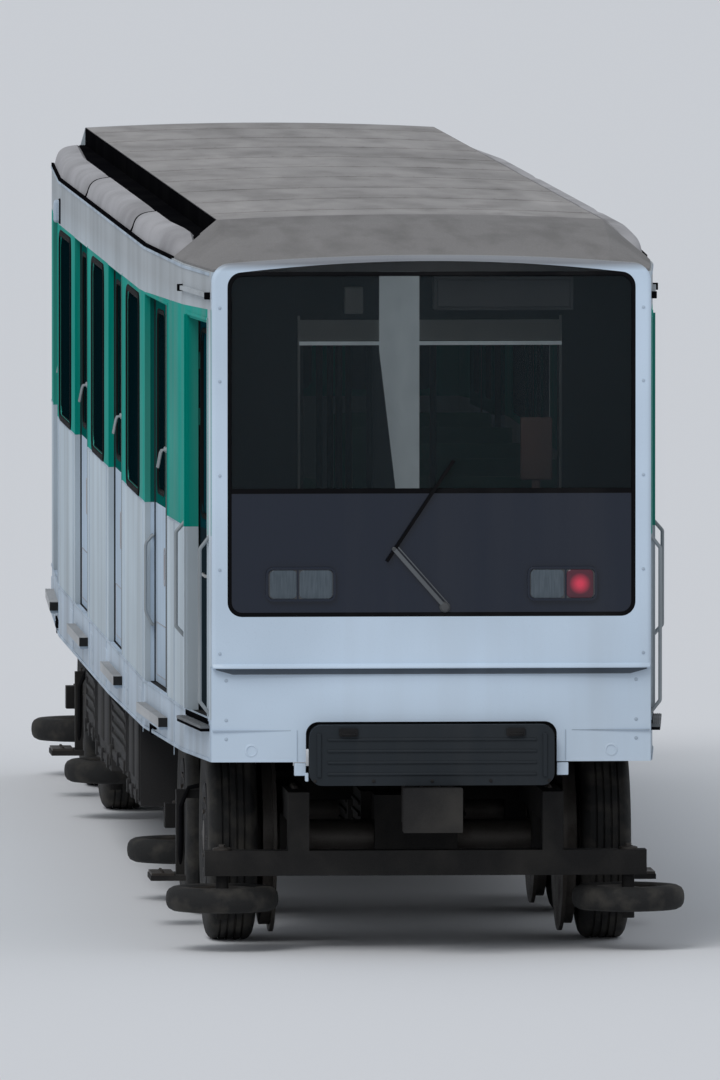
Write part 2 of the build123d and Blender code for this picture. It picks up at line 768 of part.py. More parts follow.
def couplers():
    """Front coupler and the bar that joins the next car, each with its draft box."""
    draft = box(
        DRAFT_BOX_OUTER_X - DRAFT_BOX_LENGTH,
        DRAFT_BOX_OUTER_X,
        -DRAFT_BOX_HALF,
        DRAFT_BOX_HALF,
        COUPLER_Z - DRAFT_BOX_HALF,
        FLOOR_BOTTOM,
    )
    front = rod_x(0, COUPLER_Z, COUPLER_SHANK_R, DRAFT_BOX_OUTER_X, COUPLER_REACH - COUPLER_HEAD_LENGTH)
    head = box(
        COUPLER_REACH - COUPLER_HEAD_LENGTH,
        COUPLER_REACH,
        -COUPLER_HEAD_HALF,
        COUPLER_HEAD_HALF,
        COUPLER_Z - COUPLER_HEAD_HALF,
        COUPLER_Z + COUPLER_HEAD_HALF / 2,
    )
    joined = draft + front + head
    return group([joined, other_end(joined)])


def underframe():
    """Floor, and a bolster with its centre pivot below it for each bogie."""
    left = [(x, outer_y(x) - WALL) for x in side_xs(REAR_PLATE_X, LOWER_END_X)]
    right = [(x, -y) for x, y in reversed(left)]
    parts = [prism_up(left + right, FLOOR_BOTTOM, FLOOR_TOP)]
    for x in BOGIE_XS:
        bolster = box(
            x - BOLSTER_HALF_LENGTH,
            x + BOLSTER_HALF_LENGTH,
            -BOLSTER_HALF_WIDTH,
            BOLSTER_HALF_WIDTH,
            BOLSTER_BOTTOM,
            FLOOR_BOTTOM - FIT_GAP,
        )
        parts.append(bolster + rod_z(x, 0, PIVOT_R, PIVOT_BOTTOM, BOLSTER_BOTTOM))
    return group(parts)


def underfloor_boxes():
    """Closed equipment cases between the bogies."""
    cases = []
    for x0, x1, side, z0 in FLOOR_BOXES:
        y0, y1 = sorted((side * FLOOR_BOX_INNER_Y, side * FLOOR_BOX_OUTER_Y))
        cases.append(box(x0, x1, y0, y1, z0, FLOOR_BOTTOM))
    return group(cases)


def bench(x, towards):
    """Seat for two, its back at x and its cushion on the side given by towards."""
    far = x + towards * BENCH_DEPTH
    back = x + towards * BENCH_BACK
    leg = far - towards * BENCH_LEG
    low, high = sorted((x, far))
    cushion = box(low, high, BENCH_AISLE_Y, BENCH_WALL_Y, BENCH_SEAT_BOTTOM, BENCH_SEAT_TOP)
    low, high = sorted((x, back))
    rest = box(low, high, BENCH_AISLE_Y, BENCH_WALL_Y, FLOOR_TOP, BENCH_TOP)
    low, high = sorted((leg, far))
    foot = box(low, high, BENCH_AISLE_Y, BENCH_WALL_Y, FLOOR_TOP, BENCH_SEAT_BOTTOM)
    return cushion + rest + foot


def seats():
    """Benches for two in facing pairs, and the driver's seat."""
    parts = []
    for x in BAY_XS:
        for towards in (-1, 1):
            left = bench(x - towards * BENCH_BACK_OFFSET, towards)
            parts += [left, other_side(left)]
    x0 = DRIVER_SEAT_X
    y0 = DRIVER_SEAT_Y - DRIVER_SEAT_HALF
    y1 = DRIVER_SEAT_Y + DRIVER_SEAT_HALF
    cushion = box(x0, x0 + DRIVER_SEAT_DEPTH, y0, y1, DRIVER_SEAT_TOP - DRIVER_BACK, DRIVER_SEAT_TOP)
    rest = box(x0, x0 + DRIVER_BACK, y0, y1, DRIVER_SEAT_TOP, DRIVER_BACK_TOP)
    pedestal = rod_z(
        x0 + DRIVER_SEAT_DEPTH / 2, DRIVER_SEAT_Y, DRIVER_PEDESTAL_R, FLOOR_TOP, DRIVER_SEAT_TOP - DRIVER_BACK
    )
    parts.append(cushion + rest + pedestal)
    return group(parts)


def grab_poles():
    """Upright poles at the aisle corner of each bench."""
    top = ceiling_z(POLE_Y + POLE_R) - FIT_GAP
    parts = []
    for x in BAY_XS:
        for towards in (-1, 1):
            pole_x = x + towards * (BENCH_BACK_OFFSET - BENCH_BACK / 2)
            pole = rod_z(pole_x, POLE_Y, POLE_R, FLOOR_TOP, top)
            parts += [pole, other_side(pole)]
    return group(parts)


def cab_partition():
    """Wall between saloon and cab, with its window openings."""
    wall = box(
        PARTITION_X, PARTITION_END_X, -PARTITION_HALF_WIDTH, PARTITION_HALF_WIDTH, FLOOR_TOP, CANTRAIL_TOP
    )
    for y0, y1 in PARTITION_OPENINGS:
        wall -= box(PARTITION_X - WALL, PARTITION_END_X + WALL, y0, y1, PARTITION_SILL, PARTITION_HEAD)
    return wall


def driver_desk():
    """Desk across the front of the cab."""
    desk = box(DESK_X, DESK_END_X, -DESK_HALF_WIDTH, DESK_HALF_WIDTH, FLOOR_TOP, DESK_TOP)
    return chamfer(desk.edges().filter_by(Axis.Y).group_by(Axis.Z)[-1].sort_by(Axis.X)[0], DESK_X / 100)


def face_bar(start, end, width, x0, x1):
    """Flat bar across the cab face between two points given as y and z."""
    (ya, za), (yb, zb) = start, end
    length = math.hypot(yb - ya, zb - za)
    turn = math.degrees(math.atan2(zb - za, yb - ya))
    outline = Pos((ya + yb) / 2, (za + zb) / 2) * Rot(0, 0, turn) * Rectangle(length, width)
    return prism_along(outline, x0, x1)


def wiper():
    """Wiper arm with its blade, on one spindle."""
    front = FACE_X - UNIT_RECESS
    low = front + WIPER_THICKNESS
    arm = face_bar(WIPER_PIVOT, WIPER_ELBOW, WIPER_WIDTH, low, low + WIPER_THICKNESS)
    blade = face_bar(WIPER_BLADE_FOOT, WIPER_TIP, WIPER_WIDTH, front + GLASS_CLEAR, low + WIPER_THICKNESS)
    spindle = rod_x(WIPER_PIVOT[0], WIPER_PIVOT[1], WIPER_SPINDLE_R, front, low + WIPER_THICKNESS)
    return arm + blade + spindle


def hand_rails():
    """Upright rails either side of each cab door."""
    parts = []
    for along, low, high, reach in HAND_RAILS:
        path = FilletPolyline(
            (along, -HAND_RAIL_R, low),
            (along, reach, low + HAND_RAIL_HOOK),
            (along, reach, high - HAND_RAIL_HOOK),
            (along, -HAND_RAIL_R, high),
            radius=HAND_RAIL_BEND,
        )
        rail = sweep(Plane(origin=path @ 0, z_dir=path % 0) * Circle(HAND_RAIL_R), path=path)
        rail -= box(0, along + WALL, -WALL, 0, low - WALL, high + WALL)
        left = SLANT_PLACE * rail
        parts += [left, other_side(left)]
    return group(parts)


def leaf_window(x, inset, out0, out1):
    """Window of one door leaf, as a cutter or, with an inset, as its pane."""
    height = LEAF_WINDOW_TOP - LEAF_WINDOW_BOTTOM - 2 * inset
    centre = (LEAF_WINDOW_TOP + LEAF_WINDOW_BOTTOM) / 2
    return window_block(x, centre, LEAF_WINDOW_WIDTH - 2 * inset, height, WINDOW_CORNER - inset, out0, out1)


def door_leaves(towards):
    """Left leaves of all four doorways that slide the way given by towards."""
    half = (DOORWAY_WIDTH / 2 - LEAF_GAP / 2) / 2
    centre = towards * (DOORWAY_WIDTH / 2 + LEAF_GAP) / 2
    parts = []
    for x in DOORWAY_XS:
        outer = leaf_out(x)
        inner = outer - LEAF_THICKNESS
        leaf = box(centre - half, centre + half, inner, outer, FLOOR_TOP + LEAF_FLOOR_CLEAR, LEAF_TOP)
        leaf -= leaf_window(centre, 0, inner - WALL, outer + WALL)
        parts.append(door_place(x) * leaf)
    return group(parts)


def door_glass(towards):
    """Panes of the left door leaves that slide the way given by towards."""
    centre = towards * (DOORWAY_WIDTH / 2 + LEAF_GAP) / 2
    panes = []
    for x in DOORWAY_XS:
        start = leaf_out(x) - LEAF_THICKNESS / 2 - GLASS_THICKNESS / 2
        panes.append(door_place(x) * leaf_window(centre, GLASS_CLEAR, start, start + GLASS_THICKNESS))
    return group(panes)


def cab_pane(inset, out0, out1):
    """Window of the cab door, as a cutter or, with an inset, as its pane."""
    width = CAB_DOOR_WIDTH - 2 * CAB_DOOR_PANE_MARGIN - 2 * inset
    height = LEAF_WINDOW_TOP - LEAF_WINDOW_BOTTOM - 2 * inset
    centre = (CAB_DOOR_START + CAB_DOOR_END) / 2
    middle = (LEAF_WINDOW_TOP + LEAF_WINDOW_BOTTOM) / 2
    return SLANT_PLACE * window_block(centre, middle, width, height, WINDOW_CORNER - inset, out0, out1)


def cab_door():
    """Left cab door, set in its recess and hung on its rear edge, with its pane."""
    outer = -CAB_RECESS
    inner = outer - CAB_DOOR_THICKNESS
    leaf = slant_box(
        CAB_DOOR_START - CAB_DOOR_LAP,
        CAB_DOOR_END + CAB_DOOR_LAP,
        inner,
        outer,
        FLOOR_TOP + LEAF_FLOOR_CLEAR,
        DOORWAY_TOP + CAB_DOOR_LAP,
    )
    leaf -= cab_pane(0, inner - WALL, outer + WALL)
    for z in CAB_HINGE_ZS:
        low = z - CAB_KNUCKLE_HEIGHT / 2
        high = z + CAB_KNUCKLE_HEIGHT / 2
        leaf += SLANT_PLACE * rod_z(CAB_HINGE_ALONG, CAB_HINGE_OUT, CAB_KNUCKLE_R, low, high)
        leaf -= SLANT_PLACE * rod_z(CAB_HINGE_ALONG, CAB_HINGE_OUT, CAB_HINGE_PIN_R + FIT_GAP, low, high)
    middle = (outer + inner) / 2
    pane = cab_pane(GLASS_CLEAR, middle - GLASS_THICKNESS / 2, middle + GLASS_THICKNESS / 2)
    return group([leaf, pane])


def bogie_frame(bogie_x):
    """Side beams, transom, guide wheel beams and collector shoes of one bogie."""
    frame = box(
        -TRANSOM_HALF_LENGTH, TRANSOM_HALF_LENGTH, -TRANSOM_HALF_WIDTH, TRANSOM_HALF_WIDTH, BEAM_BOTTOM, BEAM_TOP
    )
    for side in (-1, 1):
        y0, y1 = sorted((side * BEAM_INNER_Y, side * BEAM_OUTER_Y))
        frame += box(-BEAM_HALF_LENGTH, BEAM_HALF_LENGTH, y0, y1, BEAM_BOTTOM, BEAM_TOP)
        for end in (-1, 1):
            axle = end * WHEELBASE_HALF
            frame += box(axle - AXLE_BOX_HALF, axle + AXLE_BOX_HALF, y0, y1, AXLE_BOX_BOTTOM, BEAM_BOTTOM)
            post = end * GUIDE_X
            frame += box(post - END_BEAM_HALF, post + END_BEAM_HALF, y0, y1, END_BEAM_TOP, BEAM_BOTTOM)
    for end in (-1, 1):
        x = end * GUIDE_X
        reach = GUIDE_Y + END_BEAM_OVERHANG
        frame += box(x - END_BEAM_HALF, x + END_BEAM_HALF, -reach, reach, END_BEAM_BOTTOM, END_BEAM_TOP)
        for side in (-1, 1):
            frame += rod_z(x, side * GUIDE_Y, SPINDLE_R, SPINDLE_BOTTOM, END_BEAM_BOTTOM)
        frame -= rod_y(end * WHEELBASE_HALF, TYRE_R, AXLE_R + FIT_GAP, -BEAM_OUTER_Y, BEAM_OUTER_Y)
    for side in (-1, 1):
        frame += shoe_arm(side)
    frame -= rod_z(0, 0, PIVOT_R + FIT_GAP, BEAM_BOTTOM, BEAM_TOP)
    return Pos(bogie_x, 0, 0) * frame


def shoe_arm(side):
    """Current collector shoe on its arm, outboard of the transom."""
    half = SHOE_ARM_THICKNESS / 2
    y0, y1 = sorted((side * TRANSOM_HALF_WIDTH, side * (SHOE_ARM_Y + SHOE_ARM_THICKNESS)))
    arm = box(-2 * half, 2 * half, y0, y1, BEAM_BOTTOM, BEAM_BOTTOM + SHOE_ARM_THICKNESS)
    y0, y1 = sorted((side * SHOE_ARM_Y, side * (SHOE_ARM_Y + SHOE_ARM_THICKNESS)))
    arm += box(-2 * half, 2 * half, y0, y1, SHOE_BOTTOM, BEAM_BOTTOM)
    y0, y1 = sorted((side * SHOE_ARM_Y, side * SHOE_REACH_Y))
    return arm + box(-SHOE_HALF_LENGTH, SHOE_HALF_LENGTH, y0, y1, SHOE_BOTTOM, SHOE_BOTTOM + SHOE_THICKNESS)


def bogie_motors(bogie_x):
    """Motor and gearbox blocks, one for each axle, around its axle."""
    parts = []
    for end in (-1, 1):
        x0, x1 = sorted((end * TRANSOM_HALF_LENGTH, end * MOTOR_END_X))
        block = box(x0, x1, -MOTOR_HALF_WIDTH, MOTOR_HALF_WIDTH, MOTOR_BOTTOM, MOTOR_TOP)
        x0, x1 = sorted((end * MOTOR_END_X, end * GEARBOX_END_X))
        block += box(x0, x1, -GEARBOX_HALF_WIDTH, GEARBOX_HALF_WIDTH, MOTOR_BOTTOM, MOTOR_TOP)
        block -= rod_y(end * WHEELBASE_HALF, TYRE_R, AXLE_R + FIT_GAP, -MOTOR_HALF_WIDTH, MOTOR_HALF_WIDTH)
        parts.append(Pos(bogie_x, 0, 0) * block)
    return group(parts)


def air_springs(bogie_x):
    """Rubber air springs between bogie and body."""
    top = BOLSTER_BOTTOM - RUNNER_CLEAR
    return group(
        [rod_z(bogie_x, side * AIR_SPRING_Y, AIR_SPRING_R, BEAM_TOP, top) for side in (-1, 1)]
    )


def wheelset(axle_x):
    """Axle with steel safety wheels and the hubs of the tyres."""
    part = rod_y(axle_x, TYRE_R, AXLE_R, -TYRE_OUTER_Y, TYRE_OUTER_Y)
    for side in (-1, 1):
        for r, near, far in (
            (SAFETY_WHEEL_R, SAFETY_INNER_Y, SAFETY_OUTER_Y),
            (SAFETY_FLANGE_R, SAFETY_INNER_Y, SAFETY_INNER_Y + FLANGE_WIDTH),
            (HUB_NECK_R, SAFETY_OUTER_Y, TYRE_INNER_Y),
            (RIM_R, TYRE_INNER_Y, TYRE_OUTER_Y - FLANGE_WIDTH),
        ):
            y0, y1 = sorted((side * near, side * far))
            part += rod_y(axle_x, TYRE_R, r, y0, y1)
    return part


def tyres(axle_x):
    """The two big running tyres of one axle."""
    ring = rod_y(axle_x, TYRE_R, TYRE_R, TYRE_INNER_Y, TYRE_OUTER_Y)
    ring = fillet(ring.edges().filter_by(GeomType.CIRCLE), TYRE_SHOULDER)
    ring -= rod_y(axle_x, TYRE_R, RIM_R + FIT_GAP, TYRE_INNER_Y, TYRE_OUTER_Y)
    return group([ring, other_side(ring)])


def guide_wheel(x, y):
    """Horizontal guide wheel, rubber tyre on a steel hub, turning on its spindle."""
    tyre = rod_z(x, y, GUIDE_R, GUIDE_BOTTOM, GUIDE_TOP)
    tyre = fillet(tyre.edges().filter_by(GeomType.CIRCLE), GUIDE_SHOULDER)
    for low, high in (
        (GUIDE_BOTTOM, GUIDE_BOTTOM + GUIDE_HUB_SET),
        (GUIDE_TOP - GUIDE_HUB_SET, GUIDE_TOP),
    ):
        tyre -= rod_z(x, y, GUIDE_HUB_R, low, high)
    return tyre - rod_z(x, y, SPINDLE_R + FIT_GAP, GUIDE_BOTTOM, GUIDE_TOP)


def all_parts():
    """Every sub-part by its node name."""
    left_panels = side_panels()
    parts = {
        "underframe": underframe(),
        "skirts": skirts(),
        "side_panels_left": left_panels,
        "side_panels_right": other_side(left_panels),
        "cantrails": cantrails(),
        "window_glass": window_glass(),
        "door_tracks": door_tracks(),
        "roof_panel": roof_panel(),
        "roof_channels": roof_channels(),
        "roof_fairings": roof_fairings(),
        "roof_cap": roof_cap(),
        "cab_front": cab_front(),
        "front_panel": front_panel(),
        "windscreen": windscreen(),
        "apron": apron(),
        "front_lamps": front_lamps(),
        "coupler_cover": coupler_cover(),
        "couplers": couplers(),
        "rear_wall": rear_wall(),
        "wiper": wiper(),
        "hand_rails": hand_rails(),
        "underfloor_boxes": underfloor_boxes(),
        "seats": seats(),
        "grab_poles": grab_poles(),
        "cab_partition": cab_partition(),
        "driver_desk": driver_desk(),
    }
    for name, towards in (("fore", 1), ("aft", -1)):
        leaves = door_leaves(towards)
        glass = door_glass(towards)
        parts["door_leaves_left_" + name] = leaves
        parts["door_leaves_right_" + name] = other_side(leaves)
        parts["door_glass_left_" + name] = glass
        parts["door_glass_right_" + name] = other_side(glass)
    left_door = cab_door()
    parts["cab_door_left"] = left_door
    parts["cab_door_right"] = other_side(left_door)
    for place, bogie_x in zip(("rear", "front"), BOGIE_XS):
        parts["bogie_frame_" + place] = bogie_frame(bogie_x)
        parts["bogie_motors_" + place] = bogie_motors(bogie_x)
        parts["air_springs_" + place] = air_springs(bogie_x)
        for number, end in ((1, -1), (2, 1)):
            axle_x = bogie_x + end * WHEELBASE_HALF
            parts[f"wheelset_{place}_{number}"] = wheelset(axle_x)
            parts[f"tyres_{place}_{number}"] = tyres(axle_x)
            for hand, side in (("right", -1), ("left", 1)):
                wheel = guide_wheel(bogie_x + end * GUIDE_X, side * GUIDE_Y)
                parts[f"guide_wheel_{place}_{number}_{hand}"] = wheel
    return parts


os.makedirs("parts", exist_ok=True)
for node, shape in all_parts().items():
    export_step(shape, f"parts/{node}.step")
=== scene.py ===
import bpy
import bmesh
import math
from mathutils import Matrix, Vector


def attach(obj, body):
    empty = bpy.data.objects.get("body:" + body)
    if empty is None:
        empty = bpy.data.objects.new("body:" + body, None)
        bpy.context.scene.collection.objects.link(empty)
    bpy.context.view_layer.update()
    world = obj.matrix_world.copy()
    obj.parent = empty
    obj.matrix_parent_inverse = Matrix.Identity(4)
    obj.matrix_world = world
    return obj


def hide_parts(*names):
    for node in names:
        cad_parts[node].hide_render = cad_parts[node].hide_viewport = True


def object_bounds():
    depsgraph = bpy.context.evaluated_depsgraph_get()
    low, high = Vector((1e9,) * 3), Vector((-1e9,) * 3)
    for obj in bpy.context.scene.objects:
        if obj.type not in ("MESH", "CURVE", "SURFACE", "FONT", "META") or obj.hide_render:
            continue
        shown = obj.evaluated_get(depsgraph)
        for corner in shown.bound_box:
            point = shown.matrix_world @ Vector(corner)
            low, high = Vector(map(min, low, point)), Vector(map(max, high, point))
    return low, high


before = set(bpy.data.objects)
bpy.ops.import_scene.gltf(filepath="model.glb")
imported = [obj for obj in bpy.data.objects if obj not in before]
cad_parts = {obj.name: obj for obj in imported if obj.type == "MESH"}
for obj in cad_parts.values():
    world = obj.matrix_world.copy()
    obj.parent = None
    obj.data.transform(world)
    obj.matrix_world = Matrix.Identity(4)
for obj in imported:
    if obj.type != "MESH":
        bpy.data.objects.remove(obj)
cad_low, cad_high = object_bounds()

# Turn after which a place's own Z points out of the left side
OUTWARD = Matrix.Rotation(-math.pi / 2, 4, "X")
# The car's left and right, as Y's sign and as the word in names
SIDES = ((1, "left"), (-1, "right"))

# Camera and floor
CAMERA_PLACE = Vector((122.29, -7.35, 7.99))
SENSOR = 36.0
FRAME_PIXELS = (720, 1080)
FRAME_FILL = 0.93
FLOOR_HALF = 450.0
SKY_STRENGTH = 0.55
SUN_STRENGTH = 1.15

# Plan of the left side and the places along it, in metres
SIDE_LINE = ((-7.19, 1.09), (-6.85, 1.132), (-4.65, 1.2), (4.0, 1.2), (6.25, 1.132), (7.29, 1.05))
DOOR_XS = (-5.6, -2.25, 1.2, 4.7)
DOOR_HALF = 0.65
DOOR_TRAVEL = 0.6
BAY_XS = (-3.925, -0.525, 2.95)
WALL = 0.025
LEAF_CLEAR = 0.008
LEAF_THICKNESS = 0.03
CAB_RECESS = 0.065
CAB_DOOR_START = 0.15
CAB_DOOR_END = 0.75
FLOOR_TOP = 1.13
SKIRT_BOTTOM = 0.865
SKIRT_RISE_X = 0.5
APRON_BOTTOM = 0.93
FAIRING_FRONT_X = 5.6
FAIRING_SET = 0.01
FAIRING_RUN = 0.118
FAIRING_RISE = 0.115
FAIRING_BULGE = 0.03
FAIRING_DIP = 0.034
FAIRING_ROUND = 0.36
FAIRING_GAP = 0.045
FAIRING_DROP = 0.35
FAIRING_DROP_X = 5.0
FAIRING_SEAMS = (-6.85, -2.16, 2.38, 5.6)
DOORWAY_TOP = 3.03
CANTRAIL_TOP = 3.27
# Half width beyond which the roof's side faces are painted black as shade
ROOF_SHADE_EDGE = 0.932
BAND_LOW = 2.012
BAND_HIGH = 3.035
BAND_RISE_X = 3.5
BAND_RISE = 0.055
BAND_END_X = 7.14
PANE_LOW = 2.08
PANE_HIGH = 2.95
LATCH_Z = 2.3
FACE_X = 7.29
REAR_X = -7.19
CAB_X = 6.25
# Ends of the seams and trims along the body
TRIM_XS = (-7.15, 7.2)
SILL_HALF = 0.64
WINDOW_Z = 2.5125
# Windscreen unit with the dark panel below it
UNIT_FRONT = 7.282
UNIT_SIZE = (1.95, 1.637)
UNIT_Z = 2.4435
LEDGE_Z = 1.378
COVER_FRONT = 7.335
# Half width, rise and crest of the arched roof panel
ROOF_HALF = 0.935
ROOF_RISE = 0.025
ROOF_CREST = 3.48
BOX_TOP = 1.04
PARTITION_X = 6.298
DRIVER_Y = -0.16
BOGIE_XS = {"rear": -5.0, "front": 5.0}
AXLE_REACH = 0.99
SIDE_LAMP_X = -4.5
WHEEL_Z = 0.5
# Inner and outer lamp of each cluster
LAMP_YS = (0.553, 0.709)
LAMP_Z = 1.78
GUIDE_PLACE = (1.81, 0.975, 0.25)

# The same grain along X, Y and Z
EVEN = (1, 1, 1)

# Plain colours
WHITE = (0.55, 0.66, 0.78)
SIDE_WHITE = (0.57, 0.65, 0.71)
# Band green, made lighter as a painted sky sheen
GREEN = (0.034, 0.33, 0.275)
# Deeper green of faces that look along the car, painted as shade
GREEN_RECESS = (0.001, 0.26, 0.205)
# Leaf green, darkened as painted shade of the recess
GREEN_LEAF_SHADED = (0.002, 0.105, 0.09)
GREY_ROOF = (0.28, 0.268, 0.263)
NAVY = (0.008, 0.013, 0.026)
RUBBER = (0.006, 0.006, 0.007)
STEEL = (0.4, 0.41, 0.41)
# Near-black steel, darkened further as painted shade under the car
DARK_STEEL_AND_SHADE = (0.012, 0.012, 0.013)
DUST = (0.17, 0.155, 0.135)
SOOT = (0.035, 0.034, 0.033)


def side_y(x):
    """Half width of the body side at x."""
    for (x0, y0), (x1, y1) in zip(SIDE_LINE, SIDE_LINE[1:]):
        if x <= x1:
            return y0 + (y1 - y0) * (x - x0) / (x1 - x0)
    return SIDE_LINE[-1][1]


def door_place(x):
    """Place on the left side in the middle of a doorway: along it, out of it, up."""
    ahead = side_y(x + DOOR_HALF)
    behind = side_y(x - DOOR_HALF)
    turn = math.atan2(ahead - behind, 2 * DOOR_HALF)
    return at(x, (ahead + behind) / 2, 0) @ Matrix.Rotation(turn, 4, "Z")


def leaf_out(x):
    """Outer face of the leaves of a doorway, out from the side's surface."""
    taper = abs(side_y(x + DOOR_HALF) - side_y(x - DOOR_HALF)) / (2 * DOOR_HALF)
    return -(WALL + LEAF_CLEAR + taper * DOOR_TRAVEL)


def skirt_low(x):
    """Height of the skirt's lower edge, which rises towards the apron."""
    share = max(0.0, x - SKIRT_RISE_X) / (FACE_X - SKIRT_RISE_X)
    return SKIRT_BOTTOM + (APRON_BOTTOM - SKIRT_BOTTOM) * share


def cab_place():
    """Place at the rear end of the slanting side by the left cab door."""
    (x0, y0), (x1, y1) = SIDE_LINE[-2:]
    return at(x0, y0, 0) @ Matrix.Rotation(math.atan2(y1 - y0, x1 - x0), 4, "Z")


def at(x, y, z):
    """Place that is only moved."""
    return Matrix.Translation((x, y, z))


def span(middle, half):
    """Both ends of a stretch about its middle."""
    return middle - half, middle + half


def upright(x, ys, zs):
    """Corners of a rectangle that stands across the car at x."""
    return [(x, ys[0], zs[0]), (x, ys[1], zs[0]), (x, ys[1], zs[1]), (x, ys[0], zs[1])]


def crosswise(y, xs, zs):
    """Corners of a rectangle that stands along the car at y."""
    return [(xs[0], y, zs[0]), (xs[1], y, zs[0]), (xs[1], y, zs[1]), (xs[0], y, zs[1])]


def across(x, y, z):
    """Place with its own Z along X, for outlines seen from the front."""
    return at(x, y, z) @ Matrix(((0, 0, 1, 0), (1, 0, 0, 0), (0, 1, 0, 0), (0, 0, 0, 1)))


class Part:
    """Closed forms gathered into one mesh."""

    def __init__(self, mesh=None):
        self.mesh = mesh or bmesh.new()

    def loops(self, loops, close=False):
        """Skin over successive closed loops of points, capped or joined end to end."""
        rows = [[self.mesh.verts.new(p) for p in loop] for loop in loops]
        pairs = list(zip(rows, rows[1:]))
        if close:
            pairs.append((rows[-1], rows[0]))
        count = len(rows[0])
        for a, b in pairs:
            for i in range(count):
                j = (i + 1) % count
                self.mesh.faces.new((a[i], a[j], b[j], b[i]))
        if not close:
            self.mesh.faces.new(rows[0])
            self.mesh.faces.new(rows[-1])
        return self

    def block(self, x, y, z, place=Matrix()):
        """Block between two ends along each axis of its place."""
        (x0, x1), (y0, y1), (z0, z1) = sorted(x), sorted(y), sorted(z)
        foot = ((x0, y0), (x1, y0), (x1, y1), (x0, y1))
        return self.loops([[place @ Vector((u, v, w)) for u, v in foot] for w in (z0, z1)])

    def strip(self, xs, out, z):
        """Block that follows the left side's bends between two distances out of it."""
        stops = [xs[0]] + [x for x, _ in SIDE_LINE if xs[0] < x < xs[1]] + [xs[1]]
        return self.loops([upright(x, (side_y(x) + out[0], side_y(x) + out[1]), z) for x in stops])

    def turned(self, profile, place, sides=32, close=False):
        """Profile of radius and height turned about the place's own Z, closed as a ring or with flat ends."""
        rows = []
        for step in range(sides):
            angle = 2 * math.pi * step / sides - math.pi / 2
            cos, sin = math.cos(angle), math.sin(angle)
            rows.append([self.mesh.verts.new(place @ Vector((r * cos, r * sin, h))) for r, h in profile])
        count = len(profile)
        for a, b in zip(rows, rows[1:] + rows[:1]):
            for i in range(count if close else count - 1):
                j = (i + 1) % count
                self.mesh.faces.new((a[i], a[j], b[j], b[i]))
        if not close:
            self.mesh.faces.new([row[0] for row in rows])
            self.mesh.faces.new([row[-1] for row in reversed(rows)])
        return self

    def bolt(self, place, r, height):
        """Six-sided head with a washer under it."""
        self.turned(((r * 1.5, 0), (r * 1.5, height * 0.25)), place, 12)
        return self.turned(((r, height * 0.25), (r, height * 0.9), (r * 0.8, height)), place, 6)

    def plate(self, place, width, height, corner, profile, steps=5, close=False):
        """Rounded rectangle whose profile gives distances inward and up from the place's plane."""
        loops = []
        for inset, up in profile:
            outline = rounded(width - 2 * inset, height - 2 * inset, max(corner - inset, 0.001), steps)
            loops.append([place @ Vector((u, v, up)) for u, v in outline])
        return self.loops(loops, close)

    def ring(self, place, width, height, corner, profile, steps=5):
        """Rounded rectangle frame, shaped as a plate is."""
        return self.plate(place, width, height, corner, profile, steps, close=True)

    def tube(self, points, r, sides=10):
        """Round bar through points, with its bends mitred."""
        points = [Vector(p) for p in points]
        turns = [2 * math.pi * k / sides for k in range(sides)]
        circle = [Vector((r * math.cos(a), r * math.sin(a), 0)) for a in turns]
        loops = []
        for i, point in enumerate(points):
            back = (point - points[i - 1]).normalized() if i else None
            ahead = (points[i + 1] - point).normalized() if i + 1 < len(points) else None
            along = ((back or ahead) + (ahead or back)).normalized()
            if i == 0:
                turn = along.to_track_quat("Z", "Y").to_matrix().to_4x4()
            else:
                turn = last_along.rotation_difference(along).to_matrix().to_4x4() @ turn
            last_along = along
            loops.append([Matrix.Translation(point) @ turn @ spot for spot in circle])
        return self.loops(loops)

    def make(self, name, material, body="carbody", bevel=0.0, angle=35, stands_for=()):
        """One piece with a named material on its body."""
        bmesh.ops.recalc_face_normals(self.mesh, faces=self.mesh.faces)
        mesh = bpy.data.meshes.new(name)
        self.mesh.to_mesh(mesh)
        self.mesh.free()
        mesh.materials.append(materials[material])
        for face in mesh.polygons:
            face.use_smooth = True
        mesh.set_sharp_from_angle(angle=math.radians(angle))
        piece = bpy.data.objects.new(name, mesh)
        bpy.context.scene.collection.objects.link(piece)
        if bevel:
            soft = piece.modifiers.new("bevel", "BEVEL")
            soft.width = bevel
            soft.segments = 2
            soft.limit_method = "ANGLE"
            soft.angle_limit = math.radians(40)
        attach(piece, body)
        if stands_for:
            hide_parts(*stands_for)
        return piece

    def pair(self, name, material, body="carbody", bevel=0.0):
        """The piece on the left and its mirror image on the right, with the hand put into both names."""
        for side, hand in SIDES:
            twin = Part(self.mesh.copy())
            bmesh.ops.scale(twin.mesh, vec=(1, side, 1), verts=twin.mesh.verts)
            twin.make(name.format(hand), material, body.format(hand), bevel)
        self.mesh.free()


def rounded(width, height, corner, steps=5):
    """Points round a rectangle with rounded corners."""
    points = []
    corner = min(corner, width / 2 - 0.0005, height / 2 - 0.0005)
    centres = ((1, 1, 0), (-1, 1, 90), (-1, -1, 180), (1, -1, 270))
    for su, sv, start in centres:
        cu = su * (width / 2 - corner)
        cv = sv * (height / 2 - corner)
        for k in range(steps + 1):
            angle = math.radians(start + 90 * k / steps)
            points.append((cu + corner * math.cos(angle), cv + corner * math.sin(angle)))
    return points


materials = {}


def new_material(name):
    """Node tree and shader of a new material, kept under its name."""
    material = bpy.data.materials.new(name)
    material.use_nodes = True
    materials[name] = material
    return material.node_tree, material.node_tree.nodes["Principled BSDF"]


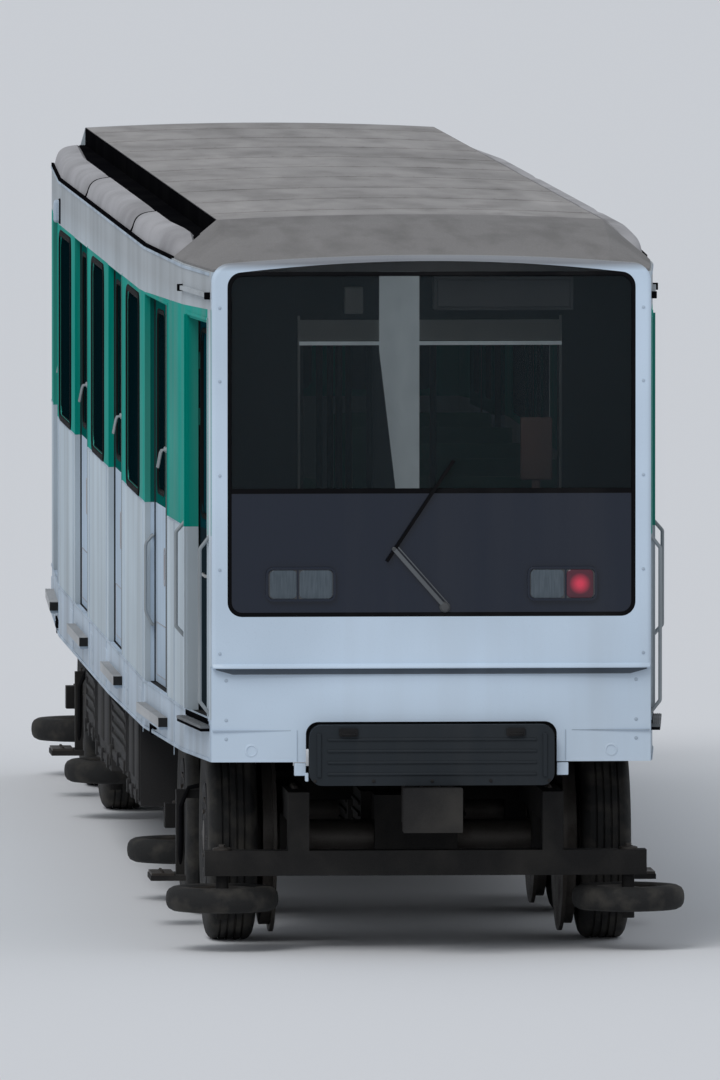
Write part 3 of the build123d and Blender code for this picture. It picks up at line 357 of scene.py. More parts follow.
def noise(tree, scale, stretch=EVEN, detail=4.0):
    """Noise that sits on the car's own coordinates, as a socket."""
    coords = tree.nodes.new("ShaderNodeTexCoord")
    mapping = tree.nodes.new("ShaderNodeMapping")
    mapping.inputs["Scale"].default_value = stretch
    grain = tree.nodes.new("ShaderNodeTexNoise")
    grain.inputs["Scale"].default_value = scale
    grain.inputs["Detail"].default_value = detail
    tree.links.new(coords.outputs["Object"], mapping.inputs["Vector"])
    tree.links.new(mapping.outputs["Vector"], grain.inputs["Vector"])
    return grain.outputs["Fac"]


def axis_value(tree, axis):
    """The car's own X, Y or Z as a socket."""
    coords = tree.nodes.new("ShaderNodeTexCoord")
    split = tree.nodes.new("ShaderNodeSeparateXYZ")
    tree.links.new(coords.outputs["Object"], split.inputs["Vector"])
    return split.outputs[axis]


def ranged(tree, source, low, high, to_low, to_high):
    """Socket mapped from one range to another, held at its ends."""
    node = tree.nodes.new("ShaderNodeMapRange")
    for name, value in (("From Min", low), ("From Max", high), ("To Min", to_low), ("To Max", to_high)):
        node.inputs[name].default_value = value
    tree.links.new(source, node.inputs["Value"])
    return node.outputs["Result"]


def calc(tree, kind, a, b):
    """Sum, product and the like of two sockets or numbers."""
    node = tree.nodes.new("ShaderNodeMath")
    node.operation = kind
    for value, socket in zip((a, b), node.inputs):
        if isinstance(value, (int, float)):
            socket.default_value = value
        else:
            tree.links.new(value, socket)
    return node.outputs["Value"]


def mixed(tree, factor, a, b):
    """Colour between a and b, each a colour or a socket."""
    node = tree.nodes.new("ShaderNodeMix")
    node.data_type = "RGBA"
    tree.links.new(factor, node.inputs["Factor"])
    for value, socket in ((a, node.inputs[6]), (b, node.inputs[7])):
        if isinstance(value, tuple):
            socket.default_value = (*value[:3], 1)
        else:
            tree.links.new(value, socket)
    return node.outputs[2]


def between(tree, axis, low, high):
    """One between two values of an axis, nought elsewhere."""
    value = axis_value(tree, axis)
    above = calc(tree, "GREATER_THAN", value, low)
    below = calc(tree, "LESS_THAN", value, high)
    return calc(tree, "MULTIPLY", above, below)


def shade(a, factor):
    """Colour made lighter or darker."""
    return tuple(min(v * factor, 1.0) for v in a)


def weathered(
    name, base, grime, amount, rough, metal=0.0, coat=0.0, stretch=(1, 1, 0.08), scale=3.5, grain=140.0,
    depth=0.0006, low_dirt=0.0, low_top=1.5, vary=0.1, specular=0.5
):
    """Material with uneven colour, streaks of dirt, dirt near the ground and a fine grain."""
    tree, shader = new_material(name)
    colour = base(tree) if callable(base) else base
    cloud = noise(tree, 0.9, EVEN, 3.0)
    lighter = tree.nodes.new("ShaderNodeHueSaturation")
    tree.links.new(ranged(tree, cloud, 0.3, 0.7, 1.0 - vary, 1.0 + vary), lighter.inputs["Value"])
    if isinstance(colour, tuple):
        lighter.inputs["Color"].default_value = (*colour, 1)
    else:
        tree.links.new(colour, lighter.inputs["Color"])
    lighter = lighter.outputs["Color"]
    streaks = noise(tree, scale, stretch, 6.0)
    dirt = ranged(tree, streaks, 0.45, 0.78, 0.0, amount)
    if low_dirt:
        near_ground = ranged(tree, axis_value(tree, "Z"), 0.7, low_top, low_dirt, 0.0)
        patchy = ranged(tree, noise(tree, 2.5, (1, 1, 0.5), 5.0), 0.25, 0.7, 0.35, 1.0)
        dirt = calc(tree, "ADD", dirt, calc(tree, "MULTIPLY", near_ground, patchy))
    tree.links.new(mixed(tree, dirt, lighter, grime), shader.inputs["Base Color"])
    fine = noise(tree, grain, EVEN, 2.0)
    gloss = calc(tree, "ADD", ranged(tree, fine, 0.3, 0.7, *rough), calc(tree, "MULTIPLY", dirt, 0.35))
    tree.links.new(gloss, shader.inputs["Roughness"])
    bump = tree.nodes.new("ShaderNodeBump")
    bump.inputs["Strength"].default_value = 0.4
    bump.inputs["Distance"].default_value = depth
    tree.links.new(fine, bump.inputs["Height"])
    tree.links.new(bump.outputs["Normal"], shader.inputs["Normal"])
    shader.inputs["Metallic"].default_value = metal
    shader.inputs["Coat Weight"].default_value = coat
    shader.inputs["Specular IOR Level"].default_value = specular


def glass(name, tint, alpha, rough=0.05, dust=0.12, specular=0.5, film_colour=(0.35, 0.36, 0.36)):
    """Tinted pane with a little dust on it."""
    tree, shader = new_material(name)
    film = ranged(tree, noise(tree, 2.2, (1, 1, 0.35), 5.0), 0.45, 0.8, 0.0, dust)
    tree.links.new(mixed(tree, film, tint, film_colour), shader.inputs["Base Color"])
    tree.links.new(ranged(tree, film, 0.0, max(dust, 0.01), rough, rough + 0.25), shader.inputs["Roughness"])
    tree.links.new(
        ranged(tree, film, 0.0, max(dust, 0.01), alpha, min(alpha + 0.12, 1.0)), shader.inputs["Alpha"]
    )
    shader.inputs["Specular IOR Level"].default_value = specular


def facing_end(tree):
    """One on faces that look along the car, such as the edges of a doorway, which are painted in shade."""
    geometry = tree.nodes.new("ShaderNodeNewGeometry")
    split = tree.nodes.new("ShaderNodeSeparateXYZ")
    tree.links.new(geometry.outputs["True Normal"], split.inputs["Vector"])
    return calc(tree, "GREATER_THAN", calc(tree, "ABSOLUTE", split.outputs["X"], 0.0), 0.8)


def side_paint(tree):
    """White side with the green band at window height, whose top rises a little towards the cab; the green
    carries a painted sky sheen, and faces that look along the car are painted darker as shade.
    """
    rise = ranged(tree, axis_value(tree, "X"), BAND_RISE_X, FACE_X, 0.0, BAND_RISE)
    height = calc(tree, "SUBTRACT", axis_value(tree, "Z"), rise)
    band = calc(
        tree, "MULTIPLY", calc(tree, "GREATER_THAN", axis_value(tree, "Z"), BAND_LOW),
        calc(tree, "LESS_THAN", height, BAND_HIGH)
    )
    band = calc(tree, "MULTIPLY", band, calc(tree, "LESS_THAN", axis_value(tree, "X"), BAND_END_X))
    soft = ranged(tree, noise(tree, 1.3, (1, 1, 1.5), 4.0), 0.3, 0.7, 0.0, 0.5)
    # The white turns grey towards the top, under the fairing
    greyer_near_top = ranged(tree, axis_value(tree, "Z"), 2.9, 3.15, 0.0, 0.55)
    white = mixed(tree, greyer_near_top, SIDE_WHITE, (0.34, 0.33, 0.325))
    surface = mixed(tree, band, white, mixed(tree, soft, GREEN, shade(GREEN, 1.3)))
    # Faces that look along the car painted darker as shade: deeper green in the band, darker white below it
    inward = mixed(tree, between(tree, "Z", BAND_LOW, 3.09), shade(SIDE_WHITE, 0.75), GREEN_RECESS)
    return mixed(tree, facing_end(tree), surface, inward)


def sill_paint(tree):
    """Pale worn sill, with the ends that look along the car painted dark as shade."""
    return mixed(tree, facing_end(tree), (0.46, 0.47, 0.48), (0.015, 0.016, 0.017))


def leaf_paint(tree):
    """Door leaf, white below and green above, the green darkened as painted shade of the recess."""
    return mixed(tree, between(tree, "Z", BAND_LOW, 3.2), shade(WHITE, 0.9), GREEN_LEAF_SHADED)


def cab_leaf_paint(tree):
    """Cab door, dark blue-grey below and dark teal above."""
    return mixed(tree, between(tree, "Z", BAND_LOW, 3.2), (0.01, 0.02, 0.027), (0.001, 0.034, 0.045))


def face_paint(tree):
    """White face, grey along its top edge."""
    grey = ranged(tree, axis_value(tree, "Z"), 3.275, 3.31, 0.0, 0.85)
    return mixed(tree, grey, WHITE, (0.17, 0.165, 0.17))


def roof_paint(tree):
    """Grey roof with pale and dark streaks along and across it, its side faces painted black as the shade of
    the slot beside the fairing.
    """
    long = ranged(tree, noise(tree, 2.2, (0.25, 1.6, 1), 6.0), 0.35, 0.68, 0.0, 0.75)
    patch = ranged(tree, noise(tree, 0.6, (0.7, 1.0, 1), 3.0), 0.35, 0.65, 0.0, 0.5)
    first = mixed(tree, long, shade(GREY_ROOF, 0.85), shade(GREY_ROOF, 1.35))
    top = mixed(tree, patch, first, shade(GREY_ROOF, 1.1))
    # Side faces of the roof painted black as shade
    edge = calc(tree, "GREATER_THAN", calc(tree, "ABSOLUTE", axis_value(tree, "Y"), 0.0), ROOF_SHADE_EDGE)
    return mixed(tree, edge, top, (0.004, 0.004, 0.005))


def lamp_paint(tree):
    """Dark grey lens with soft upright flutes."""
    wave = ranged(tree, noise(tree, 40.0, (0.1, 3.0, 0.3), 1.0), 0.35, 0.65, 0.0, 1.0)
    return mixed(tree, wave, (0.058, 0.078, 0.096), (0.076, 0.098, 0.119))


def red_paint(tree):
    """Red lens with a painted glow, brighter round the middle of its lamp."""
    across_lamp = calc(tree, "SUBTRACT", axis_value(tree, "Y"), LAMP_YS[1])
    up_lamp = calc(tree, "SUBTRACT", axis_value(tree, "Z"), LAMP_Z)
    across_square = calc(tree, "MULTIPLY", across_lamp, across_lamp)
    up_square = calc(tree, "MULTIPLY", up_lamp, up_lamp)
    away = calc(tree, "SQRT", calc(tree, "ADD", across_square, up_square), 0.0)
    glow = ranged(tree, away, 0.012, 0.052, 1.0, 0.0)
    return mixed(tree, glow, (0.08, 0.02, 0.035), (0.75, 0.05, 0.1))


def lit(name, colour, strength):
    """Softly glowing surface with uneven brightness, for lamp diffusers and for a painted glow on parts that
    are no lamps.
    """
    tree, shader = new_material(name)
    level = ranged(tree, noise(tree, 14.0, EVEN, 2.0), 0.3, 0.7, strength * 0.85, strength)
    tree.links.new(level, shader.inputs["Emission Strength"])
    shader.inputs["Emission Color"].default_value = (*colour, 1)
    shader.inputs["Base Color"].default_value = (*colour, 1)
    shader.inputs["Roughness"].default_value = 0.5


# Name, colour, colour of the dirt, its amount, range of roughness, share of metal, and what differs
weathered("side", side_paint, (0.26, 0.27, 0.27), 0.35, (0.3, 0.45), low_dirt=0.4, specular=0.0)
weathered("white", WHITE, (0.34, 0.35, 0.35), 0.22, (0.25, 0.4), low_dirt=0.25, low_top=1.4, specular=0.3)
weathered("face", face_paint, (0.34, 0.35, 0.35), 0.2, (0.25, 0.4), low_dirt=0.2, low_top=1.3, specular=0.3)
weathered("skirt", shade(WHITE, 0.9), DUST, 0.35, (0.35, 0.55), low_dirt=0.5, low_top=1.2, specular=0.15)
weathered("leaf", leaf_paint, SOOT, 0.25, (0.3, 0.5), low_dirt=0.4, specular=0.0)
weathered("cab_leaf", cab_leaf_paint, SOOT, 0.35, (0.3, 0.5), low_dirt=0.4, specular=0.0)
# Doorway fillers take the leaf colours, with the same painted shade in the green
weathered("jamb", leaf_paint, SOOT, 0.2, (0.3, 0.5), low_dirt=0.3, vary=0.05, specular=0.0)
weathered("roof", roof_paint, (0.11, 0.105, 0.1), 0.45, (0.6, 0.85), stretch=(0.4, 1.5, 1), vary=0.12)
# Dome grey darker than the roof, painted shade of its forward slope
weathered("dome", shade(GREY_ROOF, 0.67), (0.08, 0.078, 0.075), 0.5, (0.55, 0.8), stretch=(0.5, 1.5, 1))
weathered(
    "fairing", (0.4, 0.395, 0.41), (0.1, 0.095, 0.095), 0.55, (0.45, 0.7), stretch=(0.5, 1, 1), scale=2.4,
    specular=0.1
)
weathered("trim", shade(WHITE, 0.75), SOOT, 0.4, (0.4, 0.6), specular=0.2)
# Near-black: the own colour of dark parts, and painted shade in the roof slot, the fairing gaps, along the
# fairing's foot and under the cab step
weathered("channel", (0.004, 0.004, 0.005), (0.012, 0.012, 0.012), 0.4, (0.7, 0.9), specular=0.0)
# Blue-grey painted shadow under the cab face's ledge
weathered("painted_ledge_shadow", (0.09, 0.11, 0.135), SOOT, 0.4, (0.5, 0.7), specular=0.1)
weathered("navy", NAVY, (0.05, 0.05, 0.055), 0.2, (0.12, 0.22), coat=0.15, vary=0.015, specular=0.3)
weathered("rubber", RUBBER, (0.03, 0.03, 0.03), 0.35, (0.5, 0.75), grain=220.0, specular=0.02)
weathered(
    "tyre", (0.016, 0.016, 0.016), (0.11, 0.1, 0.085), 0.55, (0.65, 0.9), stretch=EVEN, scale=9.0,
    grain=260.0, depth=0.0012, vary=0.02, specular=0.25
)
weathered("steel", STEEL, (0.12, 0.11, 0.1), 0.2, (0.28, 0.42), 0.9, stretch=(1, 1, 0.3), grain=300.0)
weathered("rail_paint", (0.3, 0.33, 0.35), SOOT, 0.5, (0.4, 0.6), 0.2, scale=6.0, specular=0.2)
weathered("steel_grey", (0.13, 0.14, 0.15), SOOT, 0.4, (0.4, 0.6), 0.3, specular=0.2)
weathered(
    "dark_steel_and_shade", DARK_STEEL_AND_SHADE, (0.05, 0.047, 0.043), 0.6, (0.6, 0.85), stretch=EVEN, scale=4.0,
    low_dirt=0.3, low_top=0.9, vary=0.02, specular=0.15
)
weathered(
    "case", (0.02, 0.02, 0.022), (0.055, 0.052, 0.048), 0.5, (0.55, 0.8), stretch=(1, 1, 0.4), low_dirt=0.3,
    low_top=0.9, vary=0.03, specular=0.2
)
weathered(
    "iron", (0.075, 0.068, 0.062), (0.035, 0.026, 0.02), 0.6, (0.4, 0.65), 0.6, stretch=EVEN, scale=6.0,
    vary=0.04, specular=0.3
)
weathered(
    "cover", (0.016, 0.021, 0.026), (0.05, 0.05, 0.05), 0.35, (0.45, 0.65), grain=400.0, vary=0.02,
    specular=0.2
)
weathered("sill", sill_paint, SOOT, 0.35, (0.5, 0.7), stretch=(0.4, 1, 1), specular=0.1)
weathered("alloy", (0.42, 0.43, 0.44), DUST, 0.4, (0.4, 0.6), 0.5, stretch=(0.4, 1, 1), grain=250.0)
weathered(
    "lens", lamp_paint, (0.1, 0.1, 0.1), 0.1, (0.1, 0.2), coat=0.2, grain=60.0, depth=0.001, specular=0.3
)
weathered(
    "red", red_paint, (0.1, 0.02, 0.02), 0.3, (0.1, 0.2), coat=0.2, grain=60.0, depth=0.001, specular=0.3
)
weathered("seat", (0.02, 0.18, 0.12), (0.06, 0.1, 0.08), 0.3, (0.3, 0.5), stretch=EVEN, grain=500.0)
weathered("cushion", (0.03, 0.035, 0.045), (0.08, 0.08, 0.08), 0.3, (0.75, 0.95), grain=650.0, depth=0.002)
weathered("panel", (0.42, 0.43, 0.41), (0.22, 0.21, 0.19), 0.2, (0.45, 0.65), grain=300.0)
weathered("brown", (0.1, 0.055, 0.045), SOOT, 0.4, (0.5, 0.7), scale=12.0, grain=420.0)
weathered("desk", (0.055, 0.058, 0.062), (0.1, 0.1, 0.1), 0.2, (0.5, 0.7), grain=420.0)
glass("screen_glass", (0.011, 0.018, 0.022), 0.33, 0.04, 0.05, 0.17, (0.05, 0.055, 0.06))
glass("side_glass", (0.001, 0.009, 0.012), 0.94, 0.08, 0.05, 0.0, (0.02, 0.035, 0.04))
# Cab partition painted dark as shade of the dim cab and saloon
weathered("partition", (0.03, 0.037, 0.04), SOOT, 0.3, (0.5, 0.7), grain=300.0, vary=0.02)
lit("light", (1.0, 0.96, 0.9), 0.5)
# Painted glow on the partition rail and post, which are no lamps
lit("pillar_painted_glow", (0.75, 0.86, 0.92), 0.27)

# What each material covers, by the start of the nodes' names
NODE_MATERIALS = {
    "dark_steel_and_shade": ("underframe", "couplers", "bogie_frame", "bogie_motors"),
    "skirt": ("skirts",),
    "side": ("side_panels", "cantrails", "rear_wall"),
    "side_glass": ("window_glass", "door_glass"),
    "sill": ("door_tracks",),
    "roof": ("roof_panel",),
    # The roof slot beside each fairing: dark, and painted darker still as its shade
    "channel": ("roof_channels",),
    "fairing": ("roof_fairings",),
    "dome": ("roof_cap",),
    "face": ("cab_front", "apron"),
    "navy": ("front_panel",),
    "screen_glass": ("windscreen",),
    "desk": ("front_lamps", "grab_poles", "driver_desk"),
    "cover": ("coupler_cover",),
    "rail_paint": ("hand_rails",),
    "case": ("underfloor_boxes",),
    "partition": ("cab_partition",),
    "leaf": ("door_leaves",),
    "cab_leaf": ("cab_door",),
    "rubber": ("air_springs",),
    "iron": ("wheelset",),
}


def dress_nodes():
    """Every node that stays gets its material."""
    for name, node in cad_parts.items():
        for material, starts in NODE_MATERIALS.items():
            if name.startswith(starts):
                for place in node.material_slots:
                    place.material = materials[material]


def side_frames():
    """Window rubbers, door trims, fillers, sill treads and brackets of both sides."""
    rubber = (
        (0.0, 0.0), (0.004, 0.006), (0.014, 0.009), (0.03, 0.007), (0.037, -0.006), (0.037, -0.012),
        (0.0, -0.012)
    )
    frames = Part()
    for x in BAY_XS:
        frames.ring(at(x, side_y(x), WINDOW_Z) @ OUTWARD, 1.21, 1.005, 0.09, rubber)
    frames.pair("window_rubber_{}", "rubber")

    trims, jambs, treads, brackets = Part(), Part(), Part(), Part()
    for x in DOOR_XS:
        place = door_place(x)
        proud = (-0.002, 0.003)
        edge = leaf_out(x) + 0.007
        for end in (-1, 1):
            trim = (end * (DOOR_HALF + 0.001), end * (DOOR_HALF + 0.022))
            trims.block(trim, proud, (FLOOR_TOP + 0.01, DOORWAY_TOP + 0.004), place)
            # Fillers only towards the car's middle; at the other end the opening leaf would meet them
            if end * x < 0 and edge <= -WALL - 0.004:
                filler = (end * (DOOR_HALF + 0.0005), end * (DOOR_HALF + 0.03))
                jambs.block(filler, (edge, -WALL), (FLOOR_TOP + 0.004, DOORWAY_TOP - 0.002), place)
        trims.block(span(0, DOOR_HALF + 0.022), proud, (DOORWAY_TOP + 0.004, DOORWAY_TOP + 0.014), place)
        sill = span(x, SILL_HALF)
        for row in range(5):
            out = 0.004 + row * 0.008
            treads.strip(sill, (out, out + 0.004), (1.029, 1.0325))
        treads.strip(sill, (0.0425, 0.0465), (1.016, 1.0325))
        brackets.strip(sill, (0.0, 0.04), (0.972, 0.986))
        for spot in (-0.55, -0.18, 0.18, 0.55):
            foot = at(x + spot, side_y(x + spot) + 0.022, 0.972) @ Matrix.Rotation(math.pi, 4, "X")
            brackets.bolt(foot, 0.008, 0.008)
    trims.pair("door_trims_{}", "side", bevel=0.001)
    jambs.pair("jamb_seals_{}", "jamb")
    treads.pair("sill_treads_{}", "alloy")
    brackets.pair("sill_brackets_{}", "trim", bevel=0.002)


def side_fittings():
    """Seams, skirt lip, jacking pads, hatches, lamp with its painted shadow and door rail of both sides."""
    seams = Part()
    starts = (TRIM_XS[0],) + tuple(x + DOOR_HALF for x in DOOR_XS)
    ends = tuple(x - DOOR_HALF for x in DOOR_XS) + (CAB_X,)
    for x0, x1 in zip(starts, ends):
        seams.strip((x0 + 0.03, x1 - 0.03), (-0.001, 0.0035), (2.006, 2.013))
    for x in (-6.9, -4.66, -3.12, -1.41, 0.3, 2.05, 3.88, 5.75):
        seams.strip(span(x, 0.004), (-0.001, 0.003), (SKIRT_BOTTOM + 0.01, 2.0))
    seams.strip(TRIM_XS, (-0.001, 0.004), (1.122, 1.136))
    lip = []
    for x in (TRIM_XS[0], -6.85, -4.65, SKIRT_RISE_X, 4.0, CAB_X, TRIM_XS[1]):
        y, z = side_y(x), skirt_low(x)
        lip.append(upright(x, (y - 0.001, y + 0.005), (z + 0.002, z + 0.018)))
    seams.loops(lip)
    seams.strip(TRIM_XS, (-0.001, 0.004), (CANTRAIL_TOP - 0.02, CANTRAIL_TOP - 0.006))
    seams.pair("side_seams_{}", "trim", bevel=0.001)

    pads = Part()
    for x in (-5.0, 4.62):
        z = skirt_low(x)
        pads.strip((x - 0.3, x + 0.22), (-0.001, 0.009), (z + 0.055, z + 0.075))
        pads.strip((x - 0.08, x + 0.1), (-0.001, 0.014), (z + 0.03, z + 0.06))
        pads.strip((x - 0.26, x - 0.16), (-0.024, 0.006), (z - 0.012, z + 0.05))
    pads.pair("jacking_pads_{}", "channel", bevel=0.003)

    hatches = Part()
    for x in (-6.5, -3.3, -1.2, 0.2, 2.3, 3.6):
        place = at(x, side_y(x), 1.0) @ OUTWARD
        hatches.plate(place, 0.3, 0.16, 0.02, ((0, -0.01), (0, 0.001), (0.003, 0.0035)), 3)
        for u in (-0.12, 0.12):
            hatches.turned(((0.01, 0), (0.01, 0.002), (0.006, 0.004)), place @ at(u, 0.0, 0.003), 12)
    hatches.pair("skirt_hatches_{}", "skirt")

    place = at(SIDE_LAMP_X, side_y(SIDE_LAMP_X), 3.11) @ OUTWARD
    # Dark base a little larger than the lens: its rubber rim and a painted shadow round the lamp
    base = Part().plate(place, 0.082, 0.132, 0.02, ((0, -0.004), (0, 0.006), (0.003, 0.009)), 4)
    base.pair("side_lamp_base_shadow_{}", "rubber")
    lens = Part().plate(
        place, 0.07, 0.12, 0.02, ((0, 0.008), (0.001, 0.026), (0.008, 0.034), (0.02, 0.036)), 5
    )
    lens.pair("side_lamp_lens_{}", "trim")

    # The rail stands in the foremost doorway, fixed to its rear edge
    place = door_place(DOOR_XS[-1])
    back, ahead = -DOOR_HALF, -DOOR_HALF + 0.05
    upper = (
        (back, -0.034, 1.85), (ahead, -0.034, 1.85), (ahead, -0.026, 1.846), (ahead, 0.0, 1.815),
        (ahead, 0.003, 1.8)
    )
    lower = (
        (ahead, 0.003, 1.488), (ahead, 0.0, 1.472), (ahead, -0.026, 1.42), (ahead, -0.034, 1.413),
        (back, -0.034, 1.413)
    )
    rail = Part().tube([place @ Vector(p) for p in upper + lower], 0.008)
    rail.pair("door_rail_{}", "rail_paint")


def door_details():
    """Pane rubbers, edge seals, grips, low plates and levers of the sliding leaves, which move with them."""
    rubber = ((0.0, 0.0), (0.003, 0.003), (0.012, 0.003), (0.024, 0.001), (0.028, -0.006), (0.0, -0.004))
    cup = ((0, 0), (0.003, 0.003), (0.01, 0.003), (0.012, -0.004), (0, -0.002))
    rim = ((0, 0), (0.001, 0.002), (0.004, 0.002), (0.005, -0.002), (0, -0.002))
    for way, towards in (("fore", 1), ("aft", -1)):
        rings, seals, fittings, latches = Part(), Part(), Part(), Part()
        for x in DOOR_XS:
            out = leaf_out(x)
            place = door_place(x)
            middle = towards * (DOOR_HALF + 0.002) / 2
            rings.ring(
                place @ at(middle, out, (PANE_LOW + PANE_HIGH) / 2) @ OUTWARD, 0.47, 0.91, 0.08, rubber
            )
            for near, far, inner, outer, low, high in (
                (0.0015, 0.032, -LEAF_THICKNESS - 0.002, 0.003, FLOOR_TOP + 0.01, 3.045),
                (
                    DOOR_HALF + 0.0008, DOOR_HALF + 0.018, -0.024, 0.0065, FLOOR_TOP + 0.01,
                    DOORWAY_TOP - 0.002
                ),
                (0.042, 0.046, 0.0, 0.002, FLOOR_TOP + 0.03, 2.0),
            ):
                seals.block((towards * near, towards * far), (out + inner, out + outer), (low, high), place)
            grip = towards * 0.115
            fittings.ring(place @ at(grip, out, 1.72) @ OUTWARD, 0.075, 0.19, 0.03, cup, 4)
            fittings.block(span(grip, 0.006), (out - 0.002, out + 0.0025), (1.66, 1.78), place)
            fittings.ring(place @ at(middle, out, 1.3) @ OUTWARD, 0.56, 0.26, 0.01, rim, 2)
            lever = towards * 0.036
            route = ((-0.002, 0.0), (0.024, -0.003), (0.03, -0.016), (0.044, -0.088))
            latches.tube([place @ Vector((lever, out + u, LATCH_Z + v)) for u, v in route], 0.0055, 8)
            boss = place @ at(lever, out, LATCH_Z) @ OUTWARD
            latches.turned(((0.014, -0.002), (0.014, 0.006), (0.009, 0.012)), boss, 16)
        body = "doors_{}_" + way
        rings.pair("leaf_rubbers_{}_" + way, "rubber", body)
        seals.pair("leaf_seals_{}_" + way, "cover", body, bevel=0.001)
        fittings.pair("leaf_fittings_{}_" + way, "fairing", body)
        latches.pair("leaf_latches_{}_" + way, "rail_paint", body)


def cab_door_details():
    """Pane rubber, handle and lock of each cab door, and the step with its painted shadow, edge trims and
    drip rail ends round it.
    """
    rubber = ((0.0, 0.0), (0.004, 0.005), (0.014, 0.006), (0.024, 0.003), (0.028, -0.008), (0.0, -0.004))
    place = cab_place()
    middle = (CAB_DOOR_START + CAB_DOOR_END) / 2
    pane = place @ at(middle, -CAB_RECESS, (PANE_LOW + PANE_HIGH) / 2) @ OUTWARD
    Part().ring(pane, 0.55, 0.92, 0.08, rubber).pair("cab_door_rubber_{}", "rubber", "cab_door_{}")
    grip = Part()
    spot = place @ at(CAB_DOOR_END - 0.08, -CAB_RECESS, 1.85) @ OUTWARD
    grip.plate(spot, 0.05, 0.2, 0.02, ((0, -0.004), (0, 0.004), (0.002, 0.006)), 4)
    route = (
        (0, 0.05, 0.004), (0, 0.05, 0.035), (-0.012, 0.05, 0.045), (-0.11, 0.045, 0.045),
        (-0.125, 0.045, 0.038)
    )
    grip.tube([spot @ Vector(p) for p in route], 0.008)
    grip.turned(((0.012, 0), (0.012, 0.004), (0.008, 0.006)), spot @ at(0, -0.05, 0.005), 16)
    grip.pair("cab_door_handle_{}", "steel", "cab_door_{}")
    step = Part()
    step.block((0.1, 0.96), (-0.004, 0.045), (1.088, 1.102), place)
    for row in range(4):
        out = 0.006 + row * 0.009
        step.block((0.11, 0.95), (out, out + 0.004), (1.1015, 1.105), place)
    step.pair("cab_step_{}", "steel_grey", bevel=0.002)
    # Black strips below the step and at the foot of the recess, painted shadow
    under = Part()
    under.block((0.1, 0.96), (-0.003, 0.043), (1.074, 1.0875), place)
    under.block((0.13, 0.93), (-0.003, 0.006), (1.106, 1.134), place)
    under.pair("cab_step_under_{}", "channel", bevel=0.002)
    edge = Part()
    for along, proud in ((0.135, 0.014), (0.905, 0.004)):
        edge.block(span(along, 0.012), (-0.003, proud), (FLOOR_TOP + 0.01, DOORWAY_TOP + 0.004), place)
    edge.block((0.137, 0.913), (-0.003, 0.004), (DOORWAY_TOP + 0.004, DOORWAY_TOP + 0.018), place)
    edge.pair("cab_door_edge_{}", "side", bevel=0.001)
    ends = Part()
    for along in (-0.012, 0.972):
        ends.block(span(along, 0.014), (-0.002, 0.026), (3.138, 3.172), place)
    ends.pair("drip_rail_ends_{}", "channel", bevel=0.003)


